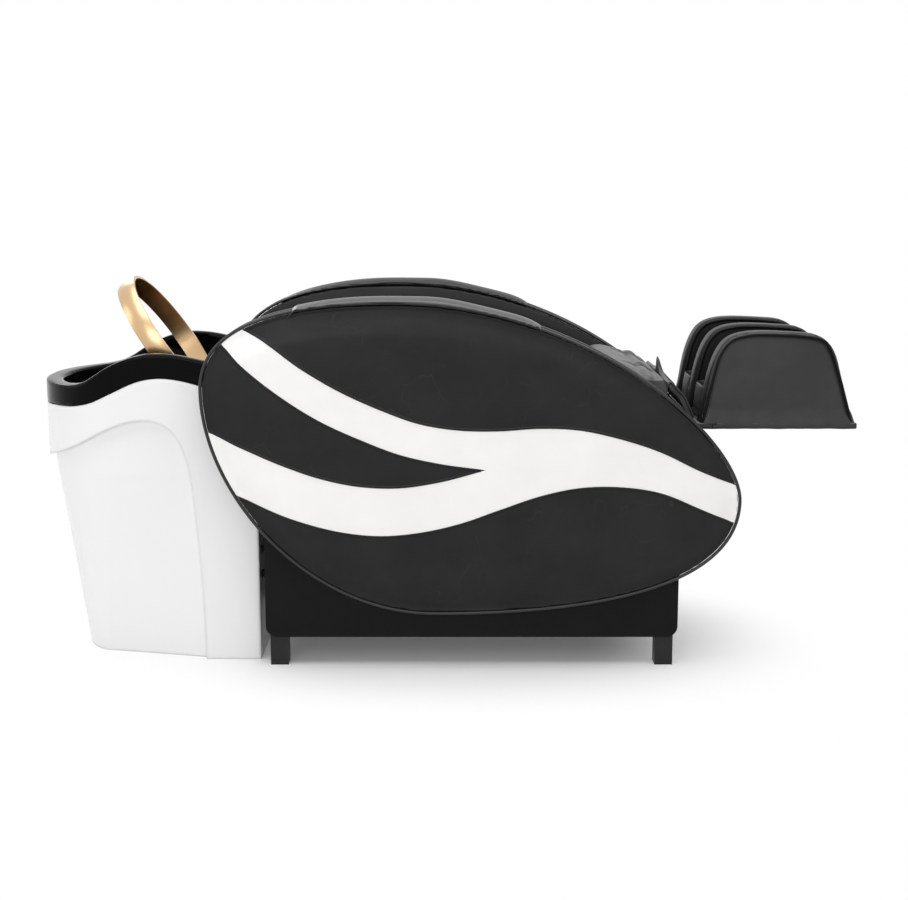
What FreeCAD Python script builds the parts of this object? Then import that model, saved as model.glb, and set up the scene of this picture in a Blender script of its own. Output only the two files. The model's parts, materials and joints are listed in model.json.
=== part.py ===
import FreeCAD, Part
import math
import os
from types import SimpleNamespace

import Sketcher
from FreeCAD import Placement, Rotation, Vector

# A bed for washing hair, in millimetres. +X points to the foot end and +Z up.
# The origin is on the floor, under the middle of the bed's length and width.

# Driving dimensions
DIMENSIONS = {
    # Base box and its frame
    "plinth_head": -445,
    "plinth_length": 1039,
    "plinth_half_width": 360,
    "plinth_floor_height": 76,
    "plinth_top": 470,
    "plinth_board": 10,
    "plinth_corner": 28,
    "leg_tube": 45,
    "tube_wall": 3,
    "rail_tube": 40,
    "rail_bottom": 575,
    # Side panels
    "panel_head": -589,
    "panel_length": 1325,
    "panel_bottom": 145,
    "panel_height": 774,
    "panel_skirt": 40,
    "panel_clearance": 5,
    "panel_edge": 20,
    "panel_inner_edge": 10,
    "stripe_thickness": 14,
    "armrest_rise": 16,
    "panel_step_top": 622,
    # Seat and back
    "board_thickness": 24.7,
    "board_gap": 0.3,
    "cushion_top": 764,
    "cushion_edge": 24,
    "seat_head": 76,
    "seat_setback": 23,
    "seat_nose": 60,
    "channel_radius": 9,
    "channel_depth": 5,
    "back_reach": 568,
    "back_pivot_x": 45,
    "back_pivot_z": 735,
    "back_turn_gap": 3,
    "cheek_thickness": 5,
    "cheek_clearance": 2,
    "cheek_length": 130,
    "hinge_pin": 6,
    "hinge_gap": 0.08,
    "hinge_eye": 14,
    # Lift linkages
    "back_lug_run": 200,
    "back_lug_drop": 145,
    "back_drive_drop": 435,
    "calf_drive_setback": 240,
    "calf_drive_drop": 150,
    "calf_lug_run": 66,
    "calf_lug_drop": 22,
    "drive_shaft": 10,
    "hub_radius": 15,
    "arm_half": 18,
    "arm_plate": 6,
    "arm_height": 24,
    "link_half": 10,
    "link_pin": 5,
    "link_eye": 13,
    "link_gap": 0.4,
    "link_bar": 14,
    "drive_width": 80,
    "drive_depth": 70,
    "drive_height": 120,
    "running_gap": 1.5,
    # Calf unit
    "calf_pivot_overhang": 41,
    "calf_pivot_z": 600,
    "calf_pivot_run": 12,
    "calf_length": 405,
    "calf_bottom": 592,
    "calf_height": 247,
    "calf_tray_thickness": 12,
    "calf_inset": 43,
    "calf_wall": 70,
    "calf_wall_edge": 16,
    "calf_floor_top": 712,
    "calf_floor_inset": 14,
    "calf_ear_thickness": 6,
    "calf_ear_length": 62,
    "flap_thickness": 6,
    "flap_inset": 5,
    # Pedestal and basin
    "pedestal_head": -1052,
    "pedestal_collar_bottom": 503,
    "pedestal_step": 18,
    "pedestal_step_height": 17,
    "pedestal_foot": -465,
    "pedestal_inset": 5,
    "pedestal_floor_head": -960,
    "pedestal_wall": 6,
    "pedestal_oval": 235,
    "pedestal_low_oval": 100,
    "arch_length": 448,
    "arch_height": 616,
    "basin_foot": -545,
    "basin_rim": 34,
    "basin_wall": 8,
    "basin_foot_wall": 10,
    "basin_drain_x": -805,
    "basin_drain_z": 452,
    "basin_drain_radius": 32,
    "apron_skirt": 10,
    "neck_half_width": 95,
    "neck_bottom": 702,
    "neck_dip": 50,
    "neck_pad": 14,
    # Water ring
    "ring_radius": 189,
    "ring_bottom_x": -622,
    "ring_bottom_z": 634,
    "ring_width": 50,
    "ring_thickness": 12,
    "ring_crown": 4,
    "ring_nozzles": 24,
    "nozzle_radius": 1.6,
    "nozzle_depth": 5,
    "ring_pivot_drop": 20,
    "ring_pin": 4,
    "ring_eye": 9,
    "ring_lug_half": 9,
    "ring_ear": 5,
    # Water and power
    "pipe_radius": 20,
    "hose_radius": 8,
    "spacer_radius": 14,
    "spacer_inset": 125,
    "spacer_z": 400,
    "pump_radius": 45,
    "pump_height": 110,
    "tray_height": 12,
    "tray_thickness": 8,
    "inlet_width": 48,
    "inlet_height": 28,
    "inlet_depth": 14,
    "inlet_z": 170,
    "inlet_y": 120,
    "switch_width": 22,
    "switch_height": 30,
    "switch_gap": 0.4,
    "switch_pin": 1.5,
    "overrun": 20,
}

# Angles and shares
RING_LEAN = 55.6

doc = FreeCAD.newDocument("HairWashingBed")
sheet = doc.addObject("Spreadsheet::Sheet", "Sizes")
for row, (name, value) in enumerate(DIMENSIONS.items(), start=1):
    sheet.set(f"A{row}", name)
    sheet.set(f"B{row}", str(value))
    sheet.setAlias(f"B{row}", name)
doc.recompute()


class Size:
    """A length and the sheet formula that it comes from."""

    def __init__(self, value, text):
        self.value = float(value)
        self.text = text

    def __add__(self, other):
        other = as_size(other)
        return Size(self.value + other.value, f"({self.text} + {other.text})")

    def __sub__(self, other):
        other = as_size(other)
        return Size(self.value - other.value, f"({self.text} - {other.text})")

    def __mul__(self, factor):
        return Size(self.value * factor, f"({self.text} * {factor:.9g})")

    def __rmul__(self, factor):
        return self * factor

    def __truediv__(self, factor):
        return self * (1 / factor)

    def __neg__(self):
        return Size(-self.value, f"(0 - {self.text})")

    def __float__(self):
        return self.value


def as_size(number):
    if isinstance(number, Size):
        return number
    return Size(number, f"{number:.9g}")


size = SimpleNamespace(**{
    name: Size(getattr(sheet, name), f"Sizes.{name}") for name in DIMENSIONS
})
zero = as_size(0)

# Widths, each from the one outside it
size.panel_outer = size.plinth_half_width + size.panel_skirt
size.leg_inner = size.plinth_half_width - size.plinth_board - size.leg_tube
size.panel_inner = size.leg_inner + size.panel_clearance
size.pedestal_half_width = size.panel_inner - size.pedestal_inset
size.spacer_y = size.pedestal_half_width - size.spacer_inset
size.bracket_inner = size.leg_inner - size.cheek_thickness
size.cheek_inner = size.bracket_inner - size.cheek_clearance - size.cheek_thickness
size.cushion_half_width = size.cheek_inner - size.cheek_thickness
size.calf_half_width = size.cushion_half_width - size.calf_inset
size.calf_bracket_inner = size.calf_half_width + size.calf_ear_thickness + size.cheek_clearance
size.flap_half_width = size.calf_half_width - size.flap_inset

# Places along the bed, from the base box's foot end and the back's pivot
size.plinth_foot = size.plinth_head + size.plinth_length
size.calf_pivot_x = size.plinth_foot + size.calf_pivot_overhang
size.calf_head = size.calf_pivot_x + size.calf_pivot_run
size.seat_foot = size.plinth_foot - size.seat_setback
size.calf_drive_x = size.calf_pivot_x - size.calf_drive_setback
size.calf_drive_z = size.calf_pivot_z - size.calf_drive_drop
size.back_head = size.back_pivot_x - size.back_reach
size.back_lug_x = size.back_pivot_x - size.back_lug_run
size.back_lug_z = size.back_pivot_z - size.back_lug_drop
parts = []


def keep(piece, label):
    """Gives a finished sub-part its name."""
    piece.Label = label
    parts.append(piece)
    return piece


def block(name, x, y, z):
    """A box between two values on each axis."""
    box = doc.addObject("Part::Box", name)
    for length, axis, (low, high) in (("Length", "x", x), ("Width", "y", y), ("Height", "z", z)):
        box.setExpression(length, (high - low).text)
        box.setExpression(f"Placement.Base.{axis}", as_size(low).text)
    return box


TURNS = {
    "x": Rotation(Vector(0, 1, 0), 90),
    "y": Rotation(Vector(1, 0, 0), -90),
    "z": Rotation(),
}


def rod(name, axis, x, y, z, radius):
    """A round bar along an axis, whose ends are the pair of values given for that axis."""
    place = {"x": x, "y": y, "z": z}
    low, high = place[axis]
    place[axis] = low
    bar = doc.addObject("Part::Cylinder", name)
    bar.Placement = Placement(Vector(), TURNS[axis])
    bar.setExpression("Radius", radius.text)
    bar.setExpression("Height", (high - low).text)
    for key, value in place.items():
        bar.setExpression(f"Placement.Base.{key}", as_size(value).text)
    return bar


def cut(name, base, *tools):
    """The base less its tools."""
    result = base
    for number, tool in enumerate(tools):
        step = doc.addObject("Part::Cut", name if number == len(tools) - 1 else f"{name}_{number}")
        step.Base, step.Tool = result, tool
        result = step
    return result


def fuse(name, *pieces):
    joined = doc.addObject("Part::MultiFuse", name)
    joined.Shapes = list(pieces)
    return joined


def formed(name, shape):
    """A piece whose shape is worked out from the sheet's values."""
    piece = doc.addObject("Part::Feature", name)
    piece.Shape = shape
    piece.Placement = shape.Placement
    return piece


def plate(name, plane, points, span, edge=None, edge_picks=None):
    """A padded profile: straight-sided outline on one of the body's planes, between two values."""
    body = doc.addObject("PartDesign::Body", name)
    sketch = body.newObject("Sketcher::SketchObject", f"{name}_outline")
    origin = [item for item in body.Origin.OriginFeatures if item.Role == f"{plane}_Plane"][0]
    sketch.AttachmentSupport = (origin, [""])
    sketch.MapMode = "FlatFace"
    low, high = span
    start = -high if plane == "XZ" else low
    sketch.setExpression("AttachmentOffset.Base.z", as_size(start).text)
    count = len(points)
    for number in range(count):
        here, there = points[number], points[(number + 1) % count]
        sketch.addGeometry(Part.LineSegment(
            Vector(float(here[0]), float(here[1]), 0), Vector(float(there[0]), float(there[1]), 0)))
    for number in range(count):
        sketch.addConstraint(Sketcher.Constraint("Coincident", number, 2, (number + 1) % count, 1))
    for number, point in enumerate(points):
        for kind, value in zip(("DistanceX", "DistanceY"), point):
            value = as_size(value)
            index = sketch.addConstraint(Sketcher.Constraint(kind, -1, 1, number, 1, value.value))
            sketch.setExpression(f"Constraints[{index}]", value.text)
    pad = body.newObject("PartDesign::Pad", f"{name}_pad")
    pad.Profile = sketch
    pad.setExpression("Length", (high - low).text)
    if edge is not None:
        doc.recompute()
        names = [f"Edge{number}" for number, item in enumerate(pad.Shape.Edges, start=1)
                 if edge_picks(item)]
        rounding = body.newObject("PartDesign::Fillet", f"{name}_edges")
        rounding.Base = (pad, names)
        rounding.setExpression("Radius", edge.text)
    return body


def across(sign, low, high):
    """A span across the bed on the left (+1) or right (-1) side."""
    return (low, high) if sign > 0 else (-high, -low)


def along(edge, axis):
    """True for a straight edge along an axis."""
    if edge.Curve.TypeId != "Part::GeomLine":
        return False
    return abs(getattr(edge.Curve.Direction, axis)) > 0.99


SIDES = (("left", 1), ("right", -1))
ENDS = (("head", size.plinth_head + size.plinth_board),
        ("foot", size.plinth_foot - size.plinth_board - size.leg_tube))

# Base box with its frame and legs
plinth_x = (size.plinth_head, size.plinth_foot)
plinth_z = (size.plinth_floor_height, size.plinth_top)
leg_y = (size.leg_inner, size.leg_inner + size.leg_tube)


def square_tube(name, x, y, z, axis):
    """A square tube, open at both ends of its axis."""
    spans = {"x": x, "y": y, "z": z}
    hollow = {
        key: (low - size.overrun, high + size.overrun) if key == axis
        else (low + size.tube_wall, high - size.tube_wall)
        for key, (low, high) in spans.items()
    }
    outside = block(f"{name}_outside", x, y, z)
    inside = block(f"{name}_inside", hollow["x"], hollow["y"], hollow["z"])
    return cut(name, outside, inside)


leg_holes = []
for side, sign in SIDES:
    for end, start in ENDS:
        x = (start, start + size.leg_tube)
        y = across(sign, *leg_y)
        leg_z = (zero, size.rail_bottom)
        leg = square_tube(f"leg_{end}_{side}", x, y, leg_z, "z")
        keep(leg, f"leg_{end}_{side}")
        leg_holes.append(block(f"leg_hole_{end}_{side}", x, y, leg_z))

plinth_points = [
    (plinth_x[0], plinth_z[0]),
    (plinth_x[1], plinth_z[0]),
    (plinth_x[1], plinth_z[1]),
    (plinth_x[0], plinth_z[1]),
]
plinth_outside = plate(
    "plinth_outside", "XZ", plinth_points, (-size.plinth_half_width, size.plinth_half_width),
    size.plinth_corner, lambda edge: along(edge, "y") and edge.CenterOfMass.z < float(plinth_z[0]) + 1)
board = size.plinth_board
plinth_inside = block(
    "plinth_inside",
    (plinth_x[0] + board, plinth_x[1] - board),
    (-size.plinth_half_width + board, size.plinth_half_width - board),
    (plinth_z[0] + board, plinth_z[1] + size.overrun))

rail_x = (ENDS[0][1], ENDS[1][1] + size.leg_tube)
rail_z = (size.rail_bottom, size.rail_bottom + size.rail_tube)
rail_y = (leg_y[0], leg_y[0] + size.rail_tube)
for side, sign in SIDES:
    rail = square_tube(f"frame_rail_{side}", rail_x, across(sign, *rail_y), rail_z, "x")
    keep(rail, f"frame_rail_{side}")

CROSS_TUBES = {
    "head": rail_x[0],
    "back": size.back_pivot_x - size.leg_tube - size.board_thickness,
    "seat": size.seat_head + size.plinth_board,
    "drive": size.calf_drive_x - 0.5 * size.rail_tube,
    "foot": rail_x[1] - 2.7 * size.rail_tube,
}
for place, start in CROSS_TUBES.items():
    tube = square_tube(
        f"cross_tube_{place}", (start, start + size.rail_tube), (-rail_y[0], rail_y[0]), rail_z, "y")
    keep(tube, f"cross_tube_{place}")

# Side panels: four curves that meet at the outline's ends, top and bottom, in shares of its size
HEAD_SHARES = (0.0, 0.7225)
TOP_SHARES = (0.352, 1.0)
FOOT_SHARES = (1.0, 0.369)
BOTTOM_SHARES = (0.431, 0.0)
HANDLE_SHARES = {
    "head_up": 0.212, "top_head": 0.200, "top_foot": 0.373, "foot_up": 0.192,
    "foot_down": 0.284, "bottom_foot": 0.300, "bottom_head": 0.240, "head_down": 0.330,
}


def panel_point(share, y):
    """A point of the side panel from its shares of length and height."""
    return Vector(
        size.panel_head.value + share[0] * size.panel_length.value,
        y,
        size.panel_bottom.value + share[1] * size.panel_height.value)


def panel_quarters(y):
    """The outline's four curves, as lists of poles from the head end over the top."""
    head, top, foot, bottom = (
        panel_point(share, y) for share in (HEAD_SHARES, TOP_SHARES, FOOT_SHARES, BOTTOM_SHARES))
    up = {key: Vector(0, 0, share * size.panel_height.value) for key, share in HANDLE_SHARES.items()}
    right = {key: Vector(share * size.panel_length.value, 0, 0) for key, share in HANDLE_SHARES.items()}
    return [
        [head, head + up["head_up"], top - right["top_head"], top],
        [top, top + right["top_foot"], foot + up["foot_up"], foot],
        [foot, foot - up["foot_down"], bottom + right["bottom_foot"], bottom],
        [bottom, bottom - right["bottom_head"], head - up["head_down"], head],
    ]


def panel_curves(y):
    curves = []
    for poles in panel_quarters(y):
        curve = Part.BezierCurve()
        curve.setPoles(poles)
        curves.append(curve)
    return curves


def panel_prism(inner, outer):
    """The outline between two values across the bed, on the right side."""
    wire = Part.Wire([curve.toShape() for curve in panel_curves(-outer)])
    return Part.Face(wire).extrude(Vector(0, outer - inner, 0))


def smooth(shares, y):
    """A smooth line through points in shares of the panel."""
    line = Part.BSplineCurve()
    line.interpolate([panel_point(share, y) for share in shares])
    return line.toShape()


def band(upper, lower, y, depth):
    """The space between two smooth lines, from one value across the bed inwards."""
    top = smooth(upper, y)
    low = smooth(lower, y)
    edges = [top, low]
    for end in (0, -1):
        if upper[end] != lower[end]:
            edges.append(Part.makeLine(panel_point(upper[end], y), panel_point(lower[end], y)))
    wire = Part.Wire(Part.__sortEdges__(edges))
    return Part.Face(wire).extrude(Vector(0, depth, 0))


UPPER_TOP_SHARES = [
    (-0.02, 1.02), (0.065, 0.932), (0.114, 0.888), (0.186, 0.798), (0.258, 0.725), (0.331, 0.668),
    (0.404, 0.623), (0.478, 0.603), (0.552, 0.601), (0.625, 0.609), (0.699, 0.603), (0.772, 0.576),
    (0.847, 0.534), (0.921, 0.473), (1.02, 0.402),
]
UPPER_LOW_SHARES = [
    (-0.04, 0.98), (0.032, 0.888), (0.076, 0.810), (0.148, 0.710), (0.221, 0.631), (0.294, 0.573),
    (0.367, 0.525), (0.441, 0.496), (0.526, 0.476),
]
LOWER_TOP_SHARES = [
    (-0.04, 0.622), (0.0, 0.601), (0.073, 0.547), (0.146, 0.492), (0.219, 0.448), (0.293, 0.422),
    (0.367, 0.418), (0.441, 0.437), (0.526, 0.476),
]
LOWER_LOW_SHARES = [
    (-0.02, 0.450), (0.043, 0.405), (0.107, 0.356), (0.181, 0.308), (0.255, 0.275), (0.329, 0.262),
    (0.404, 0.273), (0.478, 0.302), (0.552, 0.347), (0.626, 0.391), (0.700, 0.418), (0.774, 0.421),
    (0.849, 0.402), (0.924, 0.350), (1.02, 0.277),
]

outer = size.panel_outer.value
inner = size.panel_inner.value
plain_panel = panel_prism(inner, outer)
panel_middle = -(outer + inner) / 2
outer_edges = [edge for edge in plain_panel.Edges if edge.BoundBox.YMax < panel_middle]
padded_panel = plain_panel.makeFillet(size.panel_edge.value, outer_edges)
inner_edges = [edge for edge in padded_panel.Edges if edge.BoundBox.YMin > panel_middle]
padded_panel = padded_panel.makeFillet(size.panel_inner_edge.value, inner_edges)

stripe_cut_y = -outer - size.overrun.value
stripe_cut_depth = size.overrun.value + size.stripe_thickness.value
stripe_space = band(UPPER_TOP_SHARES, LOWER_LOW_SHARES, stripe_cut_y, stripe_cut_depth)
wedge = band(UPPER_LOW_SHARES[:-1] + LOWER_TOP_SHARES[-1:], LOWER_TOP_SHARES, stripe_cut_y,
             stripe_cut_depth)
stripe_space = stripe_space.cut(wedge)

# The armrest is a low roll on the panel's top edge, in shares of its length and rise
ARMREST_SHARES = (0.09, 0.628)
ROLL_SHARES = [
    (0.0, 0.20), (0.06, 0.45), (0.18, 0.72), (0.35, 0.95), (0.55, 1.0), (0.75, 1.0), (0.90, 0.90),
    (0.97, 0.75), (1.0, 0.40),
]


def panel_top(x):
    """The height of the outline's top curves at a place along the bed."""
    for curve in panel_curves(0)[:2]:
        low, high = 0.0, 1.0
        if curve.value(low).x <= x <= curve.value(high).x:
            while high - low > 1e-7:
                middle = (low + high) / 2
                if curve.value(middle).x < x:
                    low = middle
                else:
                    high = middle
            return curve.value(low).z
    raise ValueError("The armrest runs past its panel")


def armrest():
    """A loft through low arched sections that follow the panel's top."""
    sections = []
    start, stop = ARMREST_SHARES
    edge = size.panel_inner_edge.value / 5
    near, far = edge - outer, -inner - edge
    for position, rise_share in ROLL_SHARES:
        x = panel_point((start + position * (stop - start), 0), 0).x
        top = panel_top(x)
        rise = rise_share * size.armrest_rise.value
        side = top + 0.35 * rise
        low = top - size.panel_inner_edge.value
        corners = [Vector(x, near, low), Vector(x, far, low), Vector(x, far, side),
                   Vector(x, near, side)]
        crown = Vector(x, (near + far) / 2, top + rise)
        sections.append(Part.Wire([
            Part.makeLine(corners[0], corners[1]),
            Part.makeLine(corners[1], corners[2]),
            Part.Arc(corners[2], crown, corners[3]).toShape(),
            Part.makeLine(corners[3], corners[0]),
        ]))
    roll = Part.makeLoft(sections, True, False)
    return roll.cut(panel_prism(inner, outer))


armrest_shape = armrest()
step_space = Part.makeBox(
    size.plinth_length.value, 2 * size.plinth_half_width.value, size.panel_step_top.value,
    Vector(size.plinth_head.value, -size.plinth_half_width.value, 0))
panel_shape = padded_panel.cut(stripe_space).cut(step_space)
stripe_shape = padded_panel.common(stripe_space)
for side, sign in SIDES:
    for name, shape in (("side_panel", panel_shape), ("white_stripe", stripe_shape),
                        ("armrest", armrest_shape)):
        if sign > 0:
            shape = shape.mirror(Vector(), Vector(0, 1, 0))
        keep(formed(f"{name}_{side}", shape), f"{name}_{side}")

# Seat
seat_board_z = (rail_z[1], rail_z[1] + size.board_thickness)
cushion_z = (seat_board_z[1] + size.board_gap, size.cushion_top)
board_y = (-size.cushion_half_width - size.cheek_thickness, size.cushion_half_width + size.cheek_thickness)
seat_board_x = (size.seat_head + size.board_gap, size.seat_foot - size.board_thickness)
keep(block("seat_board", seat_board_x, board_y, seat_board_z), "seat_board")


def cushion(name, points, span, channels):
    """A cushion from its side outline, with rounded edges and sewn channels across its top."""
    padded = plate(name + "_padding", "XZ", points, span, size.cushion_edge,
                   lambda edge: edge.CenterOfMass.z > cushion_z[0].value + size.cushion_edge.value
                   and not along(edge, "z"))
    grooves = []
    for number, x in enumerate(channels):
        height = size.cushion_top + size.channel_radius - size.channel_depth
        grooves.append(rod(f"{name}_channel_{number}", "y", x,
                           (span[0] - size.overrun, span[1] + size.overrun), height,
                           size.channel_radius))
    return keep(cut(name, padded, *grooves), name)


cushion_y = (-size.cushion_half_width, size.cushion_half_width)
seat_length = size.seat_foot - size.seat_head
seat_points = [
    (size.seat_head, cushion_z[0]),
    (size.seat_foot, cushion_z[0]),
    (size.seat_foot, cushion_z[1] - size.seat_nose),
    (size.seat_foot - 0.7 * size.seat_nose, cushion_z[1]),
    (size.seat_head, cushion_z[1]),
]
SEAT_CHANNEL_SHARES = (0.22, 0.44, 0.66, 0.86)
cushion("seat_cushion", seat_points, cushion_y,
        [size.seat_head + share * seat_length for share in SEAT_CHANNEL_SHARES])

# Back, which turns up about a pin near its cushion's top edge
back_foot = size.seat_head - size.back_turn_gap
back_board_z = (seat_board_z[0] + size.board_gap, seat_board_z[1])
back_board_foot = size.back_pivot_x
keep(block("back_board", (size.back_head, back_board_foot), board_y, back_board_z), "back_board")
back_points = [
    (size.back_head, cushion_z[0]),
    (back_foot, cushion_z[0]),
    (back_foot, cushion_z[1]),
    (size.back_head, cushion_z[1]),
]
back_length = back_foot - size.back_head
BACK_CHANNEL_SHARES = (0.2, 0.4, 0.6, 0.8)
cushion("back_cushion", back_points, cushion_y,
        [size.back_head + share * back_length for share in BACK_CHANNEL_SHARES])

pivot_x, pivot_z = size.back_pivot_x, size.back_pivot_z
for side, sign in SIDES:
    cheek_y = across(sign, size.cheek_inner, size.cheek_inner + size.cheek_thickness)
    cheek_points = [
        (pivot_x - size.cheek_length, back_board_z[0]),
        (pivot_x, back_board_z[0]),
        (pivot_x + size.hinge_eye, pivot_z - size.hinge_eye),
        (pivot_x + size.hinge_eye, pivot_z + size.hinge_eye),
        (pivot_x - size.hinge_eye, pivot_z + size.hinge_eye),
    ]
    cheek = plate(f"back_cheek_blank_{side}", "XZ", cheek_points, cheek_y)
    bore = rod(f"back_cheek_bore_{side}", "y", pivot_x,
               (cheek_y[0] - size.overrun, cheek_y[1] + size.overrun), pivot_z,
               size.hinge_pin + size.hinge_gap)
    keep(cut(f"back_cheek_{side}", cheek, bore), f"back_cheek_{side}")

    bracket_y = across(sign, size.bracket_inner, size.bracket_inner + size.cheek_thickness)
    bracket = block(
        f"back_bracket_plate_{side}",
        (pivot_x - 2 * size.hinge_eye, pivot_x + 1.5 * size.hinge_eye),
        bracket_y,
        (rail_z[0], pivot_z + size.hinge_eye))
    pin = rod(f"back_pin_{side}", "y", pivot_x,
              across(sign, size.cheek_inner, size.bracket_inner + size.cheek_thickness),
              pivot_z, size.hinge_pin)
    keep(fuse(f"back_bracket_{side}", bracket, pin), f"back_bracket_{side}")


# Lift linkages: a driven arm, parallel to the turning part, pushes it through a link


def spot(x, z):
    """A point in the bed's middle plane."""
    return Vector(float(x), 0, float(z))


def cylinder(radius, y, place, axis=Vector(0, 1, 0)):
    return Part.makeCylinder(radius, y[1] - y[0], place + axis * y[0], axis)


def bar(start, stop, y, height, eye):
    """A straight bar between two points, with a round eye at each."""
    run = stop - start
    shape = Part.makeBox(run.Length, y[1] - y[0], height, Vector(0, y[0], -height / 2))
    shape.rotate(Vector(), Vector(0, 1, 0), -math.degrees(math.atan2(run.z, run.x)))
    shape.translate(start)
    return shape.multiFuse([cylinder(eye, y, start), cylinder(eye, y, stop)])


def lift(name, pivot, lug, drive_axis, plate_top):
    """The arm on its drive's shaft, the link, and the lug's two plates with their pin."""
    half, plate_y = size.arm_half.value, size.arm_plate.value
    gap, pin = size.link_gap.value, size.link_pin.value
    eye, height = size.link_eye.value, size.arm_height.value
    arm_end = drive_axis + (lug - pivot)
    plates = [(half - plate_y, half), (-half, plate_y - half)]
    arm = cylinder(size.hub_radius.value, (-half, half), drive_axis)
    for y in plates:
        arm = arm.fuse(bar(drive_axis, arm_end, y, height, size.hub_radius.value))
    bore = cylinder(size.drive_shaft.value + size.hinge_gap.value, (-2 * half, 2 * half), drive_axis)
    arm = arm.cut(bore).fuse(cylinder(pin, (-half, half), arm_end))
    keep(formed(f"{name}_arm", arm), f"{name}_arm")

    link_y = (-size.link_half.value, size.link_half.value)
    link = bar(arm_end, lug, link_y, size.link_bar.value, eye)
    link = link.cut(cylinder(pin + size.hinge_gap.value, link_y, arm_end))
    link = link.cut(cylinder(pin + gap, link_y, lug))
    keep(formed(f"{name}_link", link), f"{name}_link")

    lug_shape = cylinder(pin, (-half, half), lug)
    for y in plates:
        corners = [lug + Vector(-eye, y[0], -eye), lug + Vector(eye, y[0], -eye)]
        corners += [Vector(x, y[0], plate_top[1]) for x in (plate_top[0] + 2 * eye, plate_top[0] - 2 * eye)]
        outline = Part.makePolygon(corners + corners[:1])
        lug_shape = lug_shape.fuse(Part.Face(outline).extrude(Vector(0, y[1] - y[0], 0)))
    keep(formed(f"{name}_lug", lug_shape), f"{name}_lug")


def drive(name, axis_x, axis_z, z):
    """A gear motor's housing beside the arm, and its shaft under the arm's hub."""
    start = size.arm_half + size.running_gap
    half = 0.5 * size.drive_width
    housing = block(f"{name}_housing", (axis_x - half, axis_x + half),
                    (start, start + size.drive_depth), z)
    shaft = rod(f"{name}_shaft", "y", axis_x, (-start, start), axis_z, size.drive_shaft)
    return keep(fuse(name, housing, shaft), name)


back_pivot = spot(size.back_pivot_x, size.back_pivot_z)
back_lug = spot(size.back_lug_x, size.back_lug_z)
back_drive_z = size.back_pivot_z - size.back_drive_drop
lift("back", back_pivot, back_lug, spot(size.back_pivot_x, back_drive_z),
     (size.back_lug_x.value, back_board_z[0].value))
drive("back_drive", size.back_pivot_x, back_drive_z,
      (size.plinth_floor_height + size.plinth_board, back_drive_z + 0.5 * size.drive_width))

calf_pivot = spot(size.calf_pivot_x, size.calf_pivot_z)
calf_lug = spot(size.calf_pivot_x + size.calf_lug_run, size.calf_pivot_z - size.calf_lug_drop)
lift("calf", calf_pivot, calf_lug, spot(size.calf_drive_x, size.calf_drive_z),
     (calf_lug.x, size.calf_bottom.value))
drive("calf_drive", size.calf_drive_x, size.calf_drive_z,
      (size.rail_bottom - 1.25 * size.drive_height - 0.5 * size.arm_height, size.rail_bottom))

# Calf unit: three padded walls on a tray, with a soft floor between them
CALF_SHARES = [
    (0.0, 0.0), (0.050, 0.397), (0.102, 0.737), (0.179, 0.919), (0.284, 0.985), (0.403, 1.0),
    (0.627, 0.985), (0.766, 0.945), (0.835, 0.850), (0.903, 0.560), (0.960, 0.239), (1.0, 0.0),
]
tray_top = size.calf_bottom + size.calf_tray_thickness
tray_x = (size.calf_head + size.hinge_gap, size.calf_head + size.calf_length)
tray_y = (-size.calf_half_width, size.calf_half_width)
tray = block("calf_tray_plate", tray_x, tray_y, (size.calf_bottom, tray_top))
ears, bores = [], []
for side, sign in SIDES:
    ear_y = across(sign, size.calf_half_width, size.calf_half_width + size.calf_ear_thickness)
    ears.append(block(
        f"calf_ear_{side}", (size.calf_pivot_x, size.calf_pivot_x + size.calf_ear_length), ear_y,
        (size.calf_bottom, tray_top)))
    ears.append(rod(f"calf_ear_eye_{side}", "y", size.calf_pivot_x, ear_y, size.calf_pivot_z,
                    size.hinge_eye))
    bores.append(rod(
        f"calf_ear_bore_{side}", "y", size.calf_pivot_x,
        (ear_y[0] - size.overrun, ear_y[1] + size.overrun), size.calf_pivot_z,
        size.hinge_pin + size.hinge_gap))
    bracket_y = across(sign, size.calf_bracket_inner, size.calf_bracket_inner + size.calf_ear_thickness)
    strip = block(
        f"calf_bracket_strip_{side}",
        (CROSS_TUBES["foot"] + size.rail_tube, size.calf_pivot_x), bracket_y,
        (size.calf_pivot_z - size.hinge_eye, size.calf_pivot_z + size.hinge_eye))
    eye = rod(f"calf_bracket_eye_{side}", "y", size.calf_pivot_x, bracket_y, size.calf_pivot_z,
              size.hinge_eye)
    pin = rod(
        f"calf_pin_{side}", "y", size.calf_pivot_x,
        across(sign, size.calf_half_width, size.calf_bracket_inner + size.calf_ear_thickness),
        size.calf_pivot_z, size.hinge_pin)
    keep(fuse(f"calf_bracket_{side}", strip, eye, pin), f"calf_bracket_{side}")
tray_with_ears = fuse("calf_tray_with_ears", tray, *ears)
keep(cut("calf_tray", tray_with_ears, *bores), "calf_tray")


def calf_profile(y, depth):
    """The wall's outline above the tray, from one value across the bed to another."""
    head, length = size.calf_head.value, size.calf_length.value
    low, height = size.calf_bottom.value, size.calf_height.value
    points = [Vector(head + x * length, y, low + z * height) for x, z in CALF_SHARES]
    top = Part.BSplineCurve()
    top.interpolate(points)
    outline = Part.Wire([top.toShape(), Part.makeLine(points[-1], points[0])])
    solid = Part.Face(outline).extrude(Vector(0, depth, 0))
    return solid


def clear_of_tray(shape):
    space = Part.makeBox(
        2 * size.calf_length.value, 4 * size.calf_half_width.value, size.overrun.value,
        Vector(size.calf_head.value - size.calf_length.value / 2, -2 * size.calf_half_width.value,
               float(tray_top) - size.overrun.value))
    return shape.cut(space)


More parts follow.
